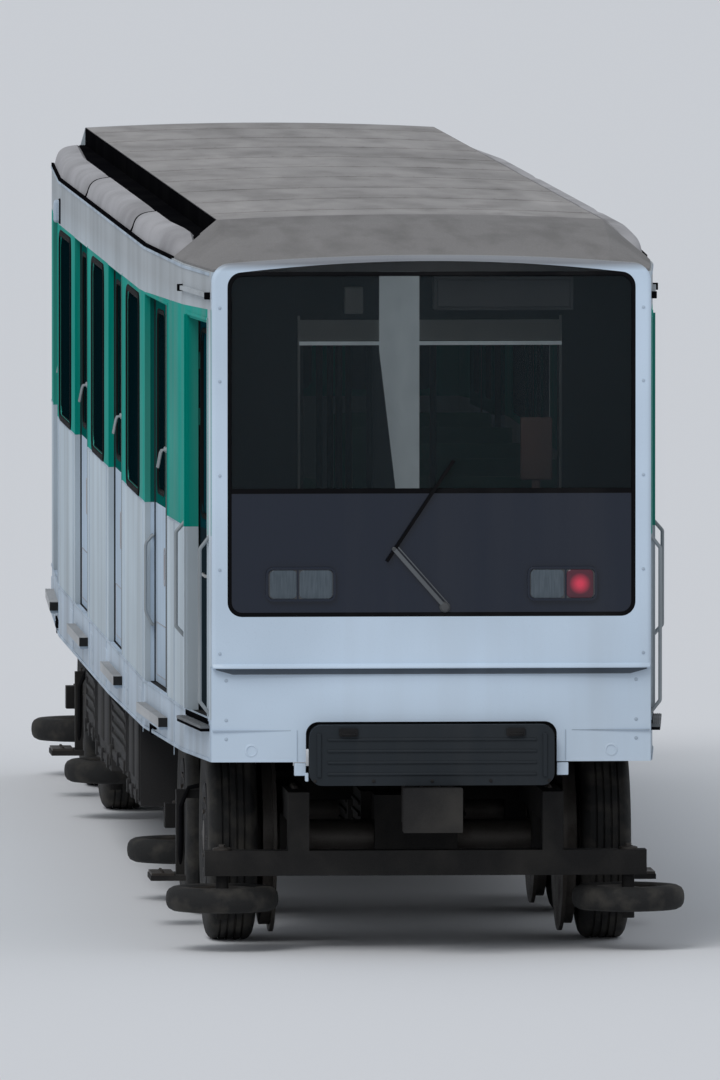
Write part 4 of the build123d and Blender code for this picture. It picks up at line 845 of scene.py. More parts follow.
def face_details():
    """Rubber and divider of the window unit, ledge with its painted shadow, seams, screws, brackets and lamps
    on the cab face.
    """
    width, height = UNIT_SIZE
    arch_rise = 0.06
    seal = Part()
    loops = []
    rubber = ((0.0, 0.0), (0.003, 0.003), (0.016, 0.003), (0.02, -0.004), (0.02, -0.01), (0.0, -0.01))
    for inset, up in rubber:
        loop = []
        for u, v in rounded(width - 2 * inset, height - 2 * inset, 0.07 - inset, 6):
            arch = arch_rise * (1 - (2 * u / width) ** 2) * max(0.0, 2 * v / height)
            loop.append((UNIT_FRONT + 0.004 + up, u, UNIT_Z + v + (arch if v > 0.7 else 0.0)))
        loops.append(loop)
    seal.loops(loops, close=True)
    seal.make("unit_rubber", "rubber")
    divider = Part().block((UNIT_FRONT - 0.006, UNIT_FRONT + 0.003), span(0, 0.972), (2.213, 2.237))
    divider.make("screen_divider", "rubber", bevel=0.002)

    back = FACE_X - 0.034
    ledge = []
    half_ledge = ((1.046, 0.001), (1.0, 0.016), (0.94, 0.022))
    for y, reach in tuple((-y, reach) for y, reach in half_ledge) + half_ledge[::-1]:
        front = FACE_X + reach
        outline = (
            (FACE_X - 0.03, 0.0), (front - 0.004, 0.0), (front, 0.004), (front - 0.003, 0.014),
            (FACE_X - 0.001, 0.024)
        )
        ledge.append([(x, y, LEDGE_Z + up) for x, up in outline])
    Part().loops(ledge).make("ledge_lip", "face", bevel=0.0015)
    # Painted shadow under the ledge
    gap = []
    for y, low in ((-1.03, 1.372), (-0.95, 1.35), (0.95, 1.35), (1.03, 1.372)):
        gap.append(crosswise(y, (back, FACE_X - 0.004), (low, LEDGE_Z + 0.001)))
    Part().loops(gap).make("ledge_shadow_gap", "painted_ledge_shadow")

    seams, screws, eyes = Part(), Part(), Part()
    apron = FACE_X - 0.03
    for side in (-1, 1):
        seams.block((back, FACE_X - 0.0195), (side * 0.64, side * 1.046), (1.078, 1.083))
        seams.block((back, FACE_X - 0.016), (side * 0.64, side * 0.644), (0.935, 1.082))
        for z in (1.45, 1.85, 2.3, 2.75, 3.1):
            screws.turned(((0.008, 0), (0.008, 0.002), (0.005, 0.004)), across(FACE_X, side * 1.012, z), 12)
        for y in (0.7, 0.98):
            for z in (1.04, 1.13, 1.32):
                screws.turned(((0.009, 0), (0.009, 0.003), (0.006, 0.005)), across(apron, side * y, z), 12)
        eye = ((0.034, 0), (0.034, 0.006), (0.022, 0.01), (0.02, 0.002))
        eyes.turned(eye, across(apron, side * 0.86, 0.985), 24)
        eyes.block((FACE_X - 0.05, FACE_X - 0.012), (side * 0.6, side * 0.655), (0.865, 0.925))
    eyes.block((FACE_X - 0.02, FACE_X + 0.03), (-0.605, -0.59), (0.84, 0.88))
    seams.make("apron_seams", "trim")
    screws.make("face_screws", "trim")
    eyes.make("apron_brackets", "white", bevel=0.003)

    rim = ((0, -0.006), (0.001, 0.01), (0.006, 0.012), (0.013, 0.01), (0.014, 0.004), (0.014, -0.006))
    for side, hand in SIDES:
        bezel = Part().ring(across(UNIT_FRONT + 0.006, side * 0.625, LAMP_Z), 0.336, 0.166, 0.035, rim)
        bezel.block((UNIT_FRONT + 0.006, UNIT_FRONT + 0.015), span(side * 0.64, 0.004), (1.71, 1.85))
        bezel.make(f"lamp_bezel_{hand}", "navy")
        lens = Part()
        outer = across(UNIT_FRONT + 0.011, side * LAMP_YS[1], LAMP_Z)
        dome = ((0, 0), (0, 0.002), (0.004, 0.004), (0.03, 0.006))
        lens.plate(across(UNIT_FRONT + 0.011, side * LAMP_YS[0], LAMP_Z), 0.158, 0.136, 0.022, dome)
        if side < 0:
            lens.plate(outer, 0.128, 0.136, 0.022, dome)
        else:
            red = Part().plate(
                outer, 0.128, 0.136, 0.022, ((0, 0), (0, 0.002), (0.004, 0.005), (0.03, 0.007))
            )
            red.make(f"lamp_red_{hand}", "red", bevel=0.0005)
        lens.make(f"lamp_glass_{hand}", "lens", bevel=0.0005)


def wiper_pieces():
    """Wiper arm, its blade and its spindle cap."""
    def bar(part, start, end, width, out):
        run = Vector((0, end[0] - start[0], end[1] - start[1]))
        place = at(0, *start) @ Matrix.Rotation(math.atan2(run.z, run.y), 4, "X")
        part.block((UNIT_FRONT + out[0], UNIT_FRONT + out[1]), (0, run.length), span(0, width / 2), place)
    spindle, joint = (0.063, 1.67), (-0.18, 1.948)
    arm = Part()
    bar(arm, spindle, joint, 0.02, (0.01, 0.019))
    bar(arm, (0.075, 1.69), (-0.168, 1.966), 0.006, (0.011, 0.017))
    arm.make("wiper_arm", "steel_grey", bevel=0.002, stands_for=("wiper",))
    blade = Part()
    for width, out in ((0.016, (0.008, 0.018)), (0.007, (0.0005, 0.009))):
        bar(blade, (-0.215, 1.888), (0.105, 2.37), width, out)
    blade.make("wiper_blade", "rubber", bevel=0.001)
    cap = Part()
    cap.turned(
        ((0.026, -0.002), (0.026, 0.01), (0.018, 0.02), (0.008, 0.022)), across(UNIT_FRONT, *spindle), 24
    )
    cap.turned(((0.01, 0.006), (0.01, 0.018), (0.006, 0.021)), across(UNIT_FRONT, *joint), 16)
    cap.make("wiper_cap", "desk")


def cover_details():
    """Ribs, latches and bolts on the coupler cover."""
    ribs = Part()
    for z in (0.875, 0.93, 0.985, 1.04):
        ribs.block((COVER_FRONT - 0.004, COVER_FRONT + 0.006), (-0.5, 0.5), span(z, 0.006))
    for y in (-0.54, 0.54):
        ribs.block((COVER_FRONT - 0.004, COVER_FRONT + 0.008), span(y, 0.01), (0.86, 1.07))
    ribs.make("cover_ribs", "cover", bevel=0.003)
    latches = Part()
    for y in (-0.4, 0.4):
        spot = across(COVER_FRONT + 0.005, y, 1.075)
        latches.plate(spot, 0.09, 0.04, 0.008, ((0, -0.006), (0, 0.006), (0.002, 0.008)), 3)
        bow = ((0.01, -0.03, 1.072), (0.022, -0.03, 1.066), (0.022, 0.03, 1.066), (0.01, 0.03, 1.072))
        latches.tube([(COVER_FRONT + u, y + v, z) for u, v, z in bow], 0.004)
    for y in (-0.56, -0.28, 0.0, 0.28, 0.56):
        latches.turned(((0.008, 0), (0.008, 0.004), (0.005, 0.006)), across(COVER_FRONT, y, 0.842), 12)
    latches.make("cover_latches", "dark_steel_and_shade")


def cover_stops(x0, x1):
    """Places along one fairing cover, and how far it dips below the full form at its rounded ends."""
    steps = [FAIRING_ROUND * f for f in (0.0, 0.02, 0.07, 0.15, 0.27, 0.44, 0.68, 1.0)]
    count = 6
    start, end = x0 + FAIRING_ROUND, x1 - FAIRING_ROUND
    xs = [x0 + step for step in steps] + [x1 - step for step in steps]
    xs += [start + (x1 - x0 - 2 * FAIRING_ROUND) * k / count for k in range(1, count)]
    xs += [x for x, _ in SIDE_LINE if start < x < end]
    stops = []
    for x in sorted(xs):
        t = 1 - min(min(x - x0, x1 - x) / FAIRING_ROUND, 1.0)
        stops.append((x, FAIRING_DIP * (1 - math.sqrt(max(0.0, 1 - t * t)))))
    return stops


def fairing_skin(part, stops, side):
    """Curved roof fairing through places along the car, each so far below the full form."""
    loops = []
    for x, dip in stops:
        front = max(0.0, (x - FAIRING_DROP_X) / (FAIRING_FRONT_X - FAIRING_DROP_X))
        size = 1 - FAIRING_DROP * front * front
        outer = []
        inner = []
        for k in range(13):
            f = k / 12
            bulge = math.sin(math.pi * f) * FAIRING_BULGE * size
            shrink = dip * min(1.0, 4 * f + 0.2) * 0.7
            y = side_y(x) - FAIRING_SET - FAIRING_RUN * size * f + bulge
            z = CANTRAIL_TOP + FAIRING_RISE * size * f + bulge
            outer.append((x, side * (y - shrink), z - shrink))
            inner.append((x, side * (y - 0.03), max(CANTRAIL_TOP, z - 0.03) - shrink))
        loops.append(outer + inner[::-1])
    part.loops(loops)


def roof_z(y):
    """Height of the arched roof panel at y."""
    radius = (ROOF_HALF ** 2 + ROOF_RISE ** 2) / (2 * ROOF_RISE)
    return ROOF_CREST - radius + math.sqrt(radius * radius - y * y)


def roof_details():
    """Seam straps with their rivets, black strips painted as shade on the roof's edges, covers of the
    fairings, and painted shadow in the gaps between the covers and along their foot.
    """
    straps, nails, edges = Part(), Part(), Part()
    count = 24
    for x in (-6.3, -4.9, -3.5, -2.1, -0.7, 0.7, 2.1, 3.5, 4.9):
        ys = [-0.925 + 1.85 * k / count for k in range(count + 1)]
        straps.loops([crosswise(y, span(x, 0.02), span(roof_z(y), 0.003)) for y in ys])
        for k in range(-8, 9):
            spot = at(x, k * 0.11, roof_z(k * 0.11) + 0.002)
            nails.turned(((0.007, 0), (0.007, 0.0015), (0.004, 0.003)), spot, 8)
    straps.make("roof_straps", "roof", bevel=0.0015)
    nails.make("roof_rivets", "roof")

    covers, joint_shadows = Part(), Part()
    for side in (-1, 1):
        out = (side * (ROOF_HALF - 0.0005), side * (ROOF_HALF + 0.0025))
        # Black strips on the roof's side faces, painted shade of the slot
        edges.block((TRIM_XS[0], FAIRING_FRONT_X), out, (3.362, 3.453))
        for x0, x1 in zip(FAIRING_SEAMS, FAIRING_SEAMS[1:]):
            fairing_skin(covers, cover_stops(x0 + FAIRING_GAP, x1 - FAIRING_GAP), side)
        # Dark hoops in the gaps between covers, painted shadow
        for x in FAIRING_SEAMS[1:-1]:
            fairing_skin(joint_shadows, ((x - FAIRING_GAP, 0.016), (x + FAIRING_GAP, 0.016)), side)
    edges.make("roof_edge_shade_strips", "channel")
    joint_shadows.make("fairing_joints", "channel", angle=40)
    covers.make("fairing_covers", "fairing", stands_for=("roof_fairings",), angle=40)
    # Black strip along the foot of the fairing, its painted shadow
    shadow_line = Part().strip(
        (-6.84, FAIRING_FRONT_X), (-0.012, 0.002), (CANTRAIL_TOP - 0.006, CANTRAIL_TOP + 0.01)
    )
    shadow_line.pair("fairing_gutter_{}", "channel")


def rear_details():
    """Fittings of the flat end wall: window rubbers, door outline, rails, jumper boxes, edge strips."""
    x = REAR_X
    turn = Matrix(((0, 0, -1, 0), (-1, 0, 0, 0), (0, 1, 0, 0), (0, 0, 0, 1)))
    rubber = ((0.0, 0.0), (0.004, 0.006), (0.014, 0.008), (0.026, 0.006), (0.032, -0.006), (0.0, -0.006))
    rings = Part()
    for y, width in ((-0.7, 0.48), (0, 0.56), (0.7, 0.48)):
        rings.ring(at(x, y, WINDOW_Z) @ turn, width + 0.06, 0.995, 0.09, rubber)
    rings.make("rear_window_rubbers", "rubber")
    rim = ((0, -0.004), (0, 0.008), (0.006, 0.012), (0.022, 0.012), (0.026, 0.006), (0.026, -0.004))
    door = Part().ring(at(x, 0, 2.08) @ turn, 0.8, 1.88, 0.05, rim, 4)
    for z in (1.4, 1.9, 2.7):
        door.block((x - 0.014, x + 0.004), (0.385, 0.425), span(z, 0.06))
    door.block((x - 0.018, x + 0.004), (-0.36, -0.32), (1.95, 2.08))
    door.make("rear_door_frame", "white", bevel=0.002)
    rails, boxes, strips = Part(), Part(), Part()
    for side in (-1, 1):
        bow = ((0, 1.45), (-0.035, 1.45), (-0.045, 1.46), (-0.045, 2.3), (-0.035, 2.31), (0, 2.31))
        rails.tube([(x + u, side * 0.47, z) for u, z in bow], 0.012)
        for z in (1.5, 1.22):
            spot = at(x, side * 0.78, z) @ turn
            boxes.plate(spot, 0.22, 0.18, 0.02, ((0, -0.004), (0, 0.035), (0.006, 0.042)), 4)
            boxes.turned(((0.055, 0.04), (0.055, 0.055), (0.045, 0.06)), spot, 24)
        strips.block((x - 0.006, x + 0.004), span(side * 1.06, 0.015), (0.88, 3.25))
    strips.block((x - 0.006, x + 0.004), (-1.08, 1.08), (1.118, 1.134))
    rails.make("rear_hand_rails", "steel")
    boxes.make("rear_jumper_boxes", "case")
    strips.make("rear_edge_strips", "white", bevel=0.002)


FLOOR_BOXES = (
    (-2.65, -1.35, 1, 0.43), (-1.2, 0.3, 1, 0.48), (0.45, 1.25, 1, 0.43), (1.4, 2.65, 1, 0.52),
    (-2.65, -1.65, -1, 0.48), (-1.5, -0.2, -1, 0.43), (-0.05, 1.45, -1, 0.5), (1.6, 2.65, -1, 0.43),
)


def under_details():
    """Lids, louvres, latches and bolts on the equipment cases."""
    lids, latches = Part(), Part()
    rim = ((0, -0.003), (0, 0.008), (0.005, 0.011), (0.03, 0.011), (0.034, 0.005), (0.034, -0.003))
    slat = ((-0.016, -0.002), (0.016, -0.002), (0.01, 0.01), (-0.016, 0.014))
    for number, (x0, x1, side, low) in enumerate(FLOOR_BOXES):
        place = at((x0 + x1) / 2, 1.15, (low + BOX_TOP) / 2) @ OUTWARD
        if side < 0:
            place = Matrix.Scale(-1, 4, (0, 1, 0)) @ place
        width = x1 - x0
        height = BOX_TOP - low
        lids.ring(place, width - 0.04, height - 0.05, 0.02, rim, 3)
        if number % 2 == 0:
            for row in range(6):
                z = -height / 2 + 0.13 + row * (height - 0.26) / 5
                ends = (-width / 2 + 0.12, width / 2 - 0.12)
                lids.loops([[place @ Vector((u, z + dz, up)) for dz, up in slat] for u in ends])
        else:
            for u in (-width / 4, width / 4):
                panel = ((0, -0.002), (0, 0.003), (0.006, 0.007))
                lids.plate(place @ at(u, 0, 0), width / 2 - 0.12, height - 0.22, 0.02, panel, 3)
        for u in (-width / 2 + 0.1, 0.0, width / 2 - 0.1):
            spot = place @ at(u, height / 2 - 0.045, 0.008)
            latches.plate(spot, 0.05, 0.07, 0.008, ((0, -0.002), (0, 0.01), (0.003, 0.013)), 3)
            latches.bolt(place @ at(u, -height / 2 + 0.042, 0.009), 0.009, 0.01)
    lids.make("case_lids", "case")
    latches.make("case_latches", "case")


# Radius and height of the upper half of each turned form
RUNNING_TYRE = (
    (0.2555, 0.1), (0.275, 0.106), (0.3, 0.112), (0.345, 0.118), (0.395, 0.12), (0.44, 0.117), (0.47, 0.109),
    (0.487, 0.098), (0.4965, 0.086), (0.4985, 0.078), (0.4985, 0.058), (0.49, 0.056), (0.49, 0.049),
    (0.4995, 0.047), (0.4995, 0.024), (0.491, 0.022), (0.491, 0.014), (0.5, 0.012),
)
GUIDE_TYRE = (
    (0.152, 0.05), (0.165, 0.056), (0.2, 0.06), (0.235, 0.057), (0.256, 0.046), (0.266, 0.03), (0.2695, 0.012)
)
GUIDE_HUB = (
    (0.0312, 0.046), (0.06, 0.046), (0.064, 0.036), (0.11, 0.03), (0.132, 0.036), (0.148, 0.05), (0.153, 0.05)
)
# Radius and height of the whole outer face of a running wheel's hub
HUB = (
    (0.02, 0.004), (0.075, 0.004), (0.08, 0.012), (0.08, 0.017), (0.1, 0.0155), (0.118, 0.004), (0.165, 0.0),
    (0.205, 0.004), (0.222, 0.013), (0.244, 0.016), (0.252, 0.012), (0.252, -0.01), (0.02, -0.01),
)


def mirrored(profile, crest=()):
    """Profile with its lower half, and what lies between the two."""
    return profile + crest + tuple((r, -h) for r, h in reversed(profile))


def outboard(x, y, z=WHEEL_Z):
    """Place whose own Z points away from the car's middle."""
    return at(x, y, z) @ Matrix.Rotation(-math.copysign(math.pi / 2, y), 4, "X")


def spin(k, count):
    """Turn to the one numbered k of a circle of equal parts."""
    return Matrix.Rotation(2 * math.pi * k / count, 4, "Z")


def running_wheels(end, number, axle):
    """Tyres, hubs and bolts of one axle."""
    body = f"wheels_{end}_{number}"
    rubber, hubs, bolts = Part(), Part(), Part()
    for side in (-1, 1):
        rubber.turned(mirrored(RUNNING_TYRE), outboard(axle, side * 0.9), 120, close=True)
        outer = outboard(axle, side * 1.002)
        hubs.turned(HUB, outer, 64, close=True)
        for k in range(10):
            bolts.bolt(outer @ spin(k, 10) @ at(0.178, 0, 0.001), 0.012, 0.014)
        bolts.turned(((0.005, 0), (0.005, 0.006), (0.003, 0.007)), outer @ at(0.225, 0, 0.012), 8)
    rubber.make(
        f"running_tyres_{end}_{number}", "tyre", body, stands_for=(f"tyres_{end}_{number}",), angle=28
    )
    hubs.make(f"hub_plates_{end}_{number}", "case", body)
    bolts.make(f"hub_bolts_{end}_{number}", "iron", body)


def guide_wheel(name, place):
    """Tyre and hub of one guide wheel."""
    band = Part().turned(mirrored(GUIDE_TYRE, ((0.27, 0.0),)), place, 72, close=True)
    band.make(f"guide_tyre_{name}", "tyre", f"guide_{name}", stands_for=(f"guide_wheel_{name}",))
    core = Part().turned(mirrored(GUIDE_HUB), place, 48, close=True)
    for k in range(6):
        core.bolt(place @ spin(k, 6) @ at(0.088, 0, 0.032), 0.009, 0.012)
    core.make(f"guide_hub_{name}", "iron", f"guide_{name}")


def bogie_fittings(end, x):
    """Bolts, bearing covers, collector shoe strips and leads, spring rings and motor fins of one bogie."""
    fixings, shoes, cables, rings, fins = Part(), Part(), Part(), Part(), Part()
    cover = ((0.082, 0.0), (0.118, 0.0), (0.118, 0.012), (0.112, 0.016), (0.086, 0.016), (0.082, 0.012))
    cap = ((0.045, 0), (0.045, 0.01), (0.036, 0.014), (0.012, 0.014))
    ring = ((0.188, 0.0), (0.1945, 0.015), (0.1945, 0.027), (0.188, 0.041), (0.188, 0.005))
    for way in (-1, 1):
        for side in (-1, 1):
            bearing = outboard(x + way * AXLE_REACH, side * 0.66)
            fixings.turned(cover, bearing, 40, close=True)
            for k in range(8):
                fixings.bolt(bearing @ spin(k + 0.5, 8) @ at(0.1, 0, 0.014), 0.007, 0.008)
            for step in range(4):
                fixings.bolt(at(x + way * 1.45 - 0.12 + step * 0.08, side * 0.61, 0.76), 0.012, 0.014)
            head = at(x + way * GUIDE_PLACE[0], side * GUIDE_PLACE[1], 0.48)
            fixings.turned(cap, head, 24)
            fixings.bolt(head @ at(0, 0, 0.013), 0.016, 0.016)
            for row in range(5):
                span_x = (x + way * 0.26, x + way * 0.8)
                fins.block(span_x, (side * 0.248, side * 0.262), span(0.42 + row * 0.055, 0.008))
        for row in range(9):
            fins.block(span(x + way * (0.27 + row * 0.058), 0.007), span(0, 0.246), (0.699, 0.716))
    for side in (-1, 1):
        for u in (-0.16, 0.16):
            fixings.bolt(at(x + u, side * 0.85, 0.76), 0.013, 0.014)
        shoes.block(span(x, 0.155), (side * 1.115, side * 1.226), (0.249, 0.262))
        for u in (-0.12, -0.04, 0.04, 0.12):
            shoes.bolt(at(x + u, side * 1.17, 0.262), 0.007, 0.008)
        route = (
            (0.03, 1.08, 0.3), (0.055, 1.08, 0.42), (0.055, 1.08, 0.58),
            (0.05, 1.04, 0.672), (0.05, 0.95, 0.69), (0.05, 0.905, 0.69),
        )
        cables.tube([(x + u, side * y, z) for u, y, z in route], 0.011)
        for z in (0.785, 0.885):
            rings.turned(ring, at(x, side * 0.72, z), 48, close=True)
    body = f"bogie_{end}"
    fixings.make(f"bogie_fixings_{end}", "iron", body)
    shoes.make(f"shoe_wear_{end}", "iron", body, bevel=0.002)
    cables.make(f"shoe_leads_{end}", "rubber", body)
    rings.make(f"spring_rings_{end}", "rubber", body)
    fins.make(f"motor_fins_{end}", "dark_steel_and_shade", body, bevel=0.002)


def running_gear():
    """Wheels, guide wheels and fittings of both bogies."""
    for end, x in BOGIE_XS.items():
        for number, way in ((1, -1), (2, 1)):
            running_wheels(end, number, x + way * AXLE_REACH)
            for side, hand in SIDES:
                place = at(x + way * GUIDE_PLACE[0], side * GUIDE_PLACE[1], GUIDE_PLACE[2])
                guide_wheel(f"{end}_{number}_{hand}", place)
        bogie_fittings(end, x)


def coupler_details():
    """Collars and face bolts of the two couplers."""
    for name, turn in (("front", Matrix()), ("rear", Matrix.Rotation(math.pi, 4, "Z"))):
        part = Part()
        for y in (-0.105, 0.105):
            for z in (0.635, 0.775):
                part.bolt(turn @ across(7.288, y, z), 0.012, 0.012)
        for x in (7.17, 7.23):
            part.turned(
                ((0.069, 0), (0.082, 0), (0.082, 0.02), (0.069, 0.02)), turn @ across(x, 0, 0.74), 32,
                close=True
            )
        part.make(f"coupler_fixings_{name}", "iron")


# Outline of a bench seen from the side, from the front of its pan over the back to the floor
BENCH = (
    (0.475, 1.48), (0.482, 1.52), (0.478, 1.556), (0.46, 1.568), (0.42, 1.566), (0.33, 1.548), (0.22, 1.544),
    (0.13, 1.556), (0.088, 1.59), (0.074, 1.7), (0.06, 1.9), (0.052, 2.01), (0.036, 2.036), (0.012, 2.036),
    (0.002, 2.01), (0.002, 1.132), (0.066, 1.132), (0.068, 1.4), (0.09, 1.482),
)


def seat_shell(part, x, towards, y0, y1):
    """Moulded bench for two: pans, back and rounded edges."""
    count = 18
    loops = []
    for k in range(count + 1):
        f = k / count
        y = y0 + (y1 - y0) * f
        dip = 0.5 - 0.5 * math.cos(4 * math.pi * f)
        edge = 1 - min(1.0, min(f, 1 - f) * 14)
        loop = []
        for i, (u, z) in enumerate(BENCH):
            if 3 <= i <= 8:
                z -= 0.016 * dip
            if 8 <= i <= 12:
                u -= 0.014 * dip
            if 2 <= i <= 13:
                z -= 0.006 * edge
            loop.append((x + towards * u, y, z))
        loops.append(loop)
    part.loops(loops)


def cushion(name, middle, size, crown):
    """Crowned pad whose sides pull in between its corners."""
    cuts = 12
    part = Part()
    top, low = [], []
    for i in range(cuts + 1):
        row_top, row_low = [], []
        for j in range(cuts + 1):
            u = 2 * i / cuts - 1
            v = 2 * j / cuts - 1
            x = middle[0] + size[0] / 2 * u * (1 - 0.025 * (1 - u * u))
            y = middle[1] + size[1] / 2 * v * (1 - 0.025 * (1 - v * v))
            edge = (1 - abs(u) ** 6) * (1 - abs(v) ** 6)
            rise = crown * math.sqrt(max(edge, 0)) * (0.75 + 0.25 * (1 - u * u) * (1 - v * v))
            row_top.append(part.mesh.verts.new((x, y, middle[2] + size[2] / 2 - crown + rise)))
            row_low.append(part.mesh.verts.new((x, y, middle[2] - size[2] / 2 + 0.006 * (1 - edge))))
        top.append(row_top)
        low.append(row_low)
    for i in range(cuts):
        for j in range(cuts):
            part.mesh.faces.new((top[i][j], top[i + 1][j], top[i + 1][j + 1], top[i][j + 1]))
            part.mesh.faces.new((low[i][j], low[i][j + 1], low[i + 1][j + 1], low[i + 1][j]))
    rim = [(i, 0) for i in range(cuts)] + [(cuts, j) for j in range(cuts)]
    rim += [(i, cuts) for i in range(cuts, 0, -1)] + [(0, j) for j in range(cuts, 0, -1)]
    for (i, j), (m, n) in zip(rim, rim[1:] + rim[:1]):
        part.mesh.faces.new((low[i][j], low[m][n], top[m][n], top[i][j]))
    piece = part.make(name, "cushion", angle=60)
    round_off = piece.modifiers.new("round", "SUBSURF")
    round_off.levels = 1
    round_off.render_levels = 1


def driver_seat():
    """The driver's cushion, backrest and post."""
    cushion("driver_cushion", (6.645, DRIVER_Y, 1.56), (0.42, 0.45, 0.08), 0.02)
    back = Part()
    for z0, z1 in ((1.6, 1.86), (1.87, 2.14)):
        rows = []
        for k in range(9):
            f = k / 8
            y = DRIVER_Y - 0.22 + 0.44 * f
            front = 6.49 + 0.012 * math.sin(math.pi * f)
            outline = (
                (6.425, z0), (front, z0 + 0.008), (front + 0.007, (z0 + z1) / 2), (front, z1 - 0.008),
                (6.425, z1)
            )
            rows.append([(x, y, z) for x, z in outline])
        back.loops(rows)
    rest = back.make("driver_backrest", "cushion", bevel=0.012)
    profile = (
        (0.11, 1.131), (0.11, 1.145), (0.06, 1.17), (0.045, 1.25), (0.045, 1.47), (0.08, 1.5), (0.08, 1.515)
    )
    Part().turned(profile, at(6.635, DRIVER_Y, 0), 32).make("driver_post", "dark_steel_and_shade")


def benches():
    """Benches for two in bays, with their feet."""
    shells, feet = Part(), Part()
    for x in BAY_XS:
        for towards in (-1, 1):
            back = x - towards * 0.85
            foot = back + towards * 0.4
            for side in (-1, 1):
                y0, y1 = sorted((side * 0.25, side * 1.083))
                seat_shell(shells, back, towards, y0, y1)
                for y in (side * 0.32, side * 1.0):
                    feet.tube(((foot, y, 1.131), (foot, y, 1.5)), 0.018)
                    feet.turned(((0.035, 1.131), (0.035, 1.137), (0.022, 1.142)), at(foot, y, 0), 16)
    shells = shells.make("bench_shells", "seat", stands_for=("seats",), angle=50)
    feet.make("bench_feet", "steel")


def inside():
    """Partition frames, two of them with a painted glow, ceiling lights, desk, display and the blank sign
    box.
    """
    rail = Part().block((PARTITION_X, 6.312), (-0.575, 0.69), (2.878, 2.896))
    rail.make("partition_rail", "pillar_painted_glow", bevel=0.002)
    edges = Part()
    for y in ((-0.583, -0.571), (0.678, 0.69)):
        edges.block((PARTITION_X, 6.309), y, (1.96, 3.02))
    edges.block((PARTITION_X, 6.306), (-0.575, 0.69), (2.9, 3.0))
    edges.make("partition_edges", "panel", bevel=0.002)
    outline = ((-0.113, 1.95), (0.003, 1.95), (0.003, 3.235), (-0.19, 3.235), (-0.19, 2.85), (-0.113, 2.2))
    post = Part().loops([[(x, y, z) for y, z in outline] for x in (PARTITION_X, 6.318)])
    post.make("partition_post", "pillar_painted_glow", bevel=0.003)
    Part().block((6.31, 6.345), (-0.36, -0.27), (3.03, 3.16)).make("cab_lamp", "panel", bevel=0.006)

    lights = Part()
    for y in (-0.42, 0.42):
        for x in (-6.9, -4.4, -1.9, 0.6, 3.1):
            lights.block((x, x + 2.3), span(y, 0.06), (3.372, 3.392))
    lights.make("ceiling_lights", "light", bevel=0.006)

    sign = Part().block((7.1, 7.24), (0.015, 0.68), (3.085, 3.245))
    sign.block((7.238, 7.248), (0.03, 0.665), (3.1, 3.23))
    sign.make("sign_box", "desk", bevel=0.004)

    desk = Part().block((6.95, 7.2), (-0.5, 0.28), (2.028, 2.06))
    desk.block((7.08, 7.2), (-0.44, 0.2), (2.05, 2.16))
    for k in range(6):
        desk.turned(((0.016, 2.06), (0.016, 2.072), (0.012, 2.076)), at(6.99, -0.42 + 0.06 * k, 0), 16)
    desk.tube(((7.02, -0.02, 2.05), (7.0, -0.02, 2.12), (6.99, -0.02, 2.13)), 0.01)
    desk.make("desk_top", "desk", bevel=0.004)
    display = Part().block((6.95, 7.0), (0.446, 0.597), (2.26, 2.56)).block(
        (6.96, 6.99), (0.5, 0.54), (2.05, 2.27)
    )
    display.make("cab_display", "brown", bevel=0.008)


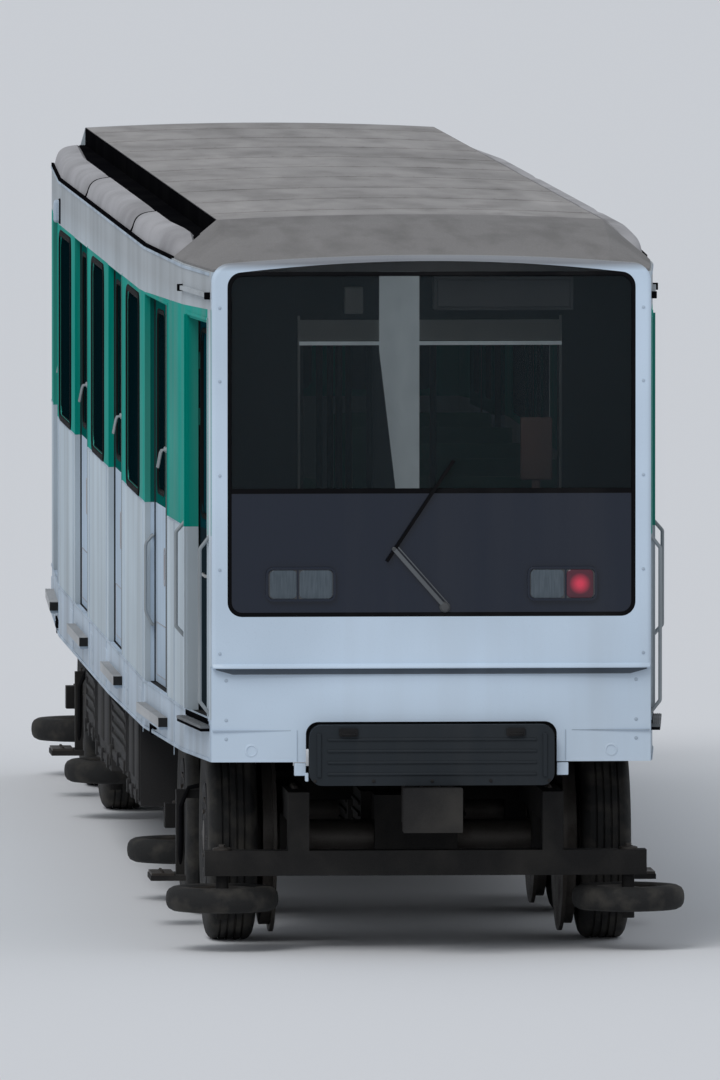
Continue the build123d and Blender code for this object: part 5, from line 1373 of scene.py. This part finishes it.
def make_camera():
    """Camera where the photographer stood, turned to the car, with a lens that fills the frame."""
    places = []
    for x in (cad_low.x, cad_high.x):
        for y in (cad_low.y, cad_high.y):
            for z in (cad_low.z, cad_high.z):
                places.append(Vector((x, y, z)) - CAMERA_PLACE)
    pans = [math.atan2(d.y, -d.x) for d in places]
    tilts = [math.atan2(d.z, math.hypot(d.x, d.y)) for d in places]
    pan = (min(pans) + max(pans)) / 2
    tilt = (min(tilts) + max(tilts)) / 2
    aim = Vector((-math.cos(pan) * math.cos(tilt), math.sin(pan) * math.cos(tilt), math.sin(tilt)))
    wide, high = FRAME_PIXELS
    half_wide = SENSOR / 2 * wide / high * FRAME_FILL / math.tan((max(pans) - min(pans)) / 2)
    half_high = SENSOR / 2 * FRAME_FILL / math.tan((max(tilts) - min(tilts)) / 2)
    data = bpy.data.cameras.new("view")
    data.sensor_width = SENSOR
    data.sensor_fit = "AUTO"
    data.lens = min(half_wide, half_high)
    data.clip_start = 1.0
    data.clip_end = 2000.0
    camera = bpy.data.objects.new("view", data)
    bpy.context.scene.collection.objects.link(camera)
    camera.location = CAMERA_PLACE
    camera.rotation_mode = "QUATERNION"
    camera.rotation_quaternion = aim.to_track_quat("-Z", "Y")
    bpy.context.scene.camera = camera


def make_light():
    """Pale sky and one wide soft lamp."""
    world = bpy.data.worlds.new("sky")
    bpy.context.scene.world = world
    world.use_nodes = True
    sky = world.node_tree.nodes["Background"]
    sky.inputs["Color"].default_value = (0.9, 0.94, 1.0, 1)
    sky.inputs["Strength"].default_value = SKY_STRENGTH
    sun = bpy.data.lights.new("sun", "SUN")
    sun.energy = SUN_STRENGTH
    sun.angle = math.radians(30)
    lamp = bpy.data.objects.new("sun", sun)
    bpy.context.scene.collection.objects.link(lamp)
    lamp.rotation_mode = "QUATERNION"
    lamp.rotation_quaternion = Vector((-0.55, 0.35, -0.8)).to_track_quat("-Z", "Y")


def make_floor():
    """Plain pale floor."""
    mesh = bpy.data.meshes.new("floor")
    h = FLOOR_HALF
    mesh.from_pydata([(-h, -h, 0), (h, -h, 0), (h, h, 0), (-h, h, 0)], [], [(0, 1, 2, 3)])
    floor = bpy.data.objects.new("floor", mesh)
    bpy.context.scene.collection.objects.link(floor)
    _, shader = new_material("floor")
    shader.inputs["Base Color"].default_value = (0.75, 0.76, 0.78, 1)
    shader.inputs["Roughness"].default_value = 0.9
    mesh.materials.append(materials["floor"])


make_camera()
make_light()
make_floor()
dress_nodes()
side_frames()
side_fittings()
door_details()
cab_door_details()
face_details()
wiper_pieces()
cover_details()
roof_details()
rear_details()
under_details()
running_gear()
coupler_details()
benches()
driver_seat()
inside()
bpy.context.scene.view_settings.view_transform = "Standard"
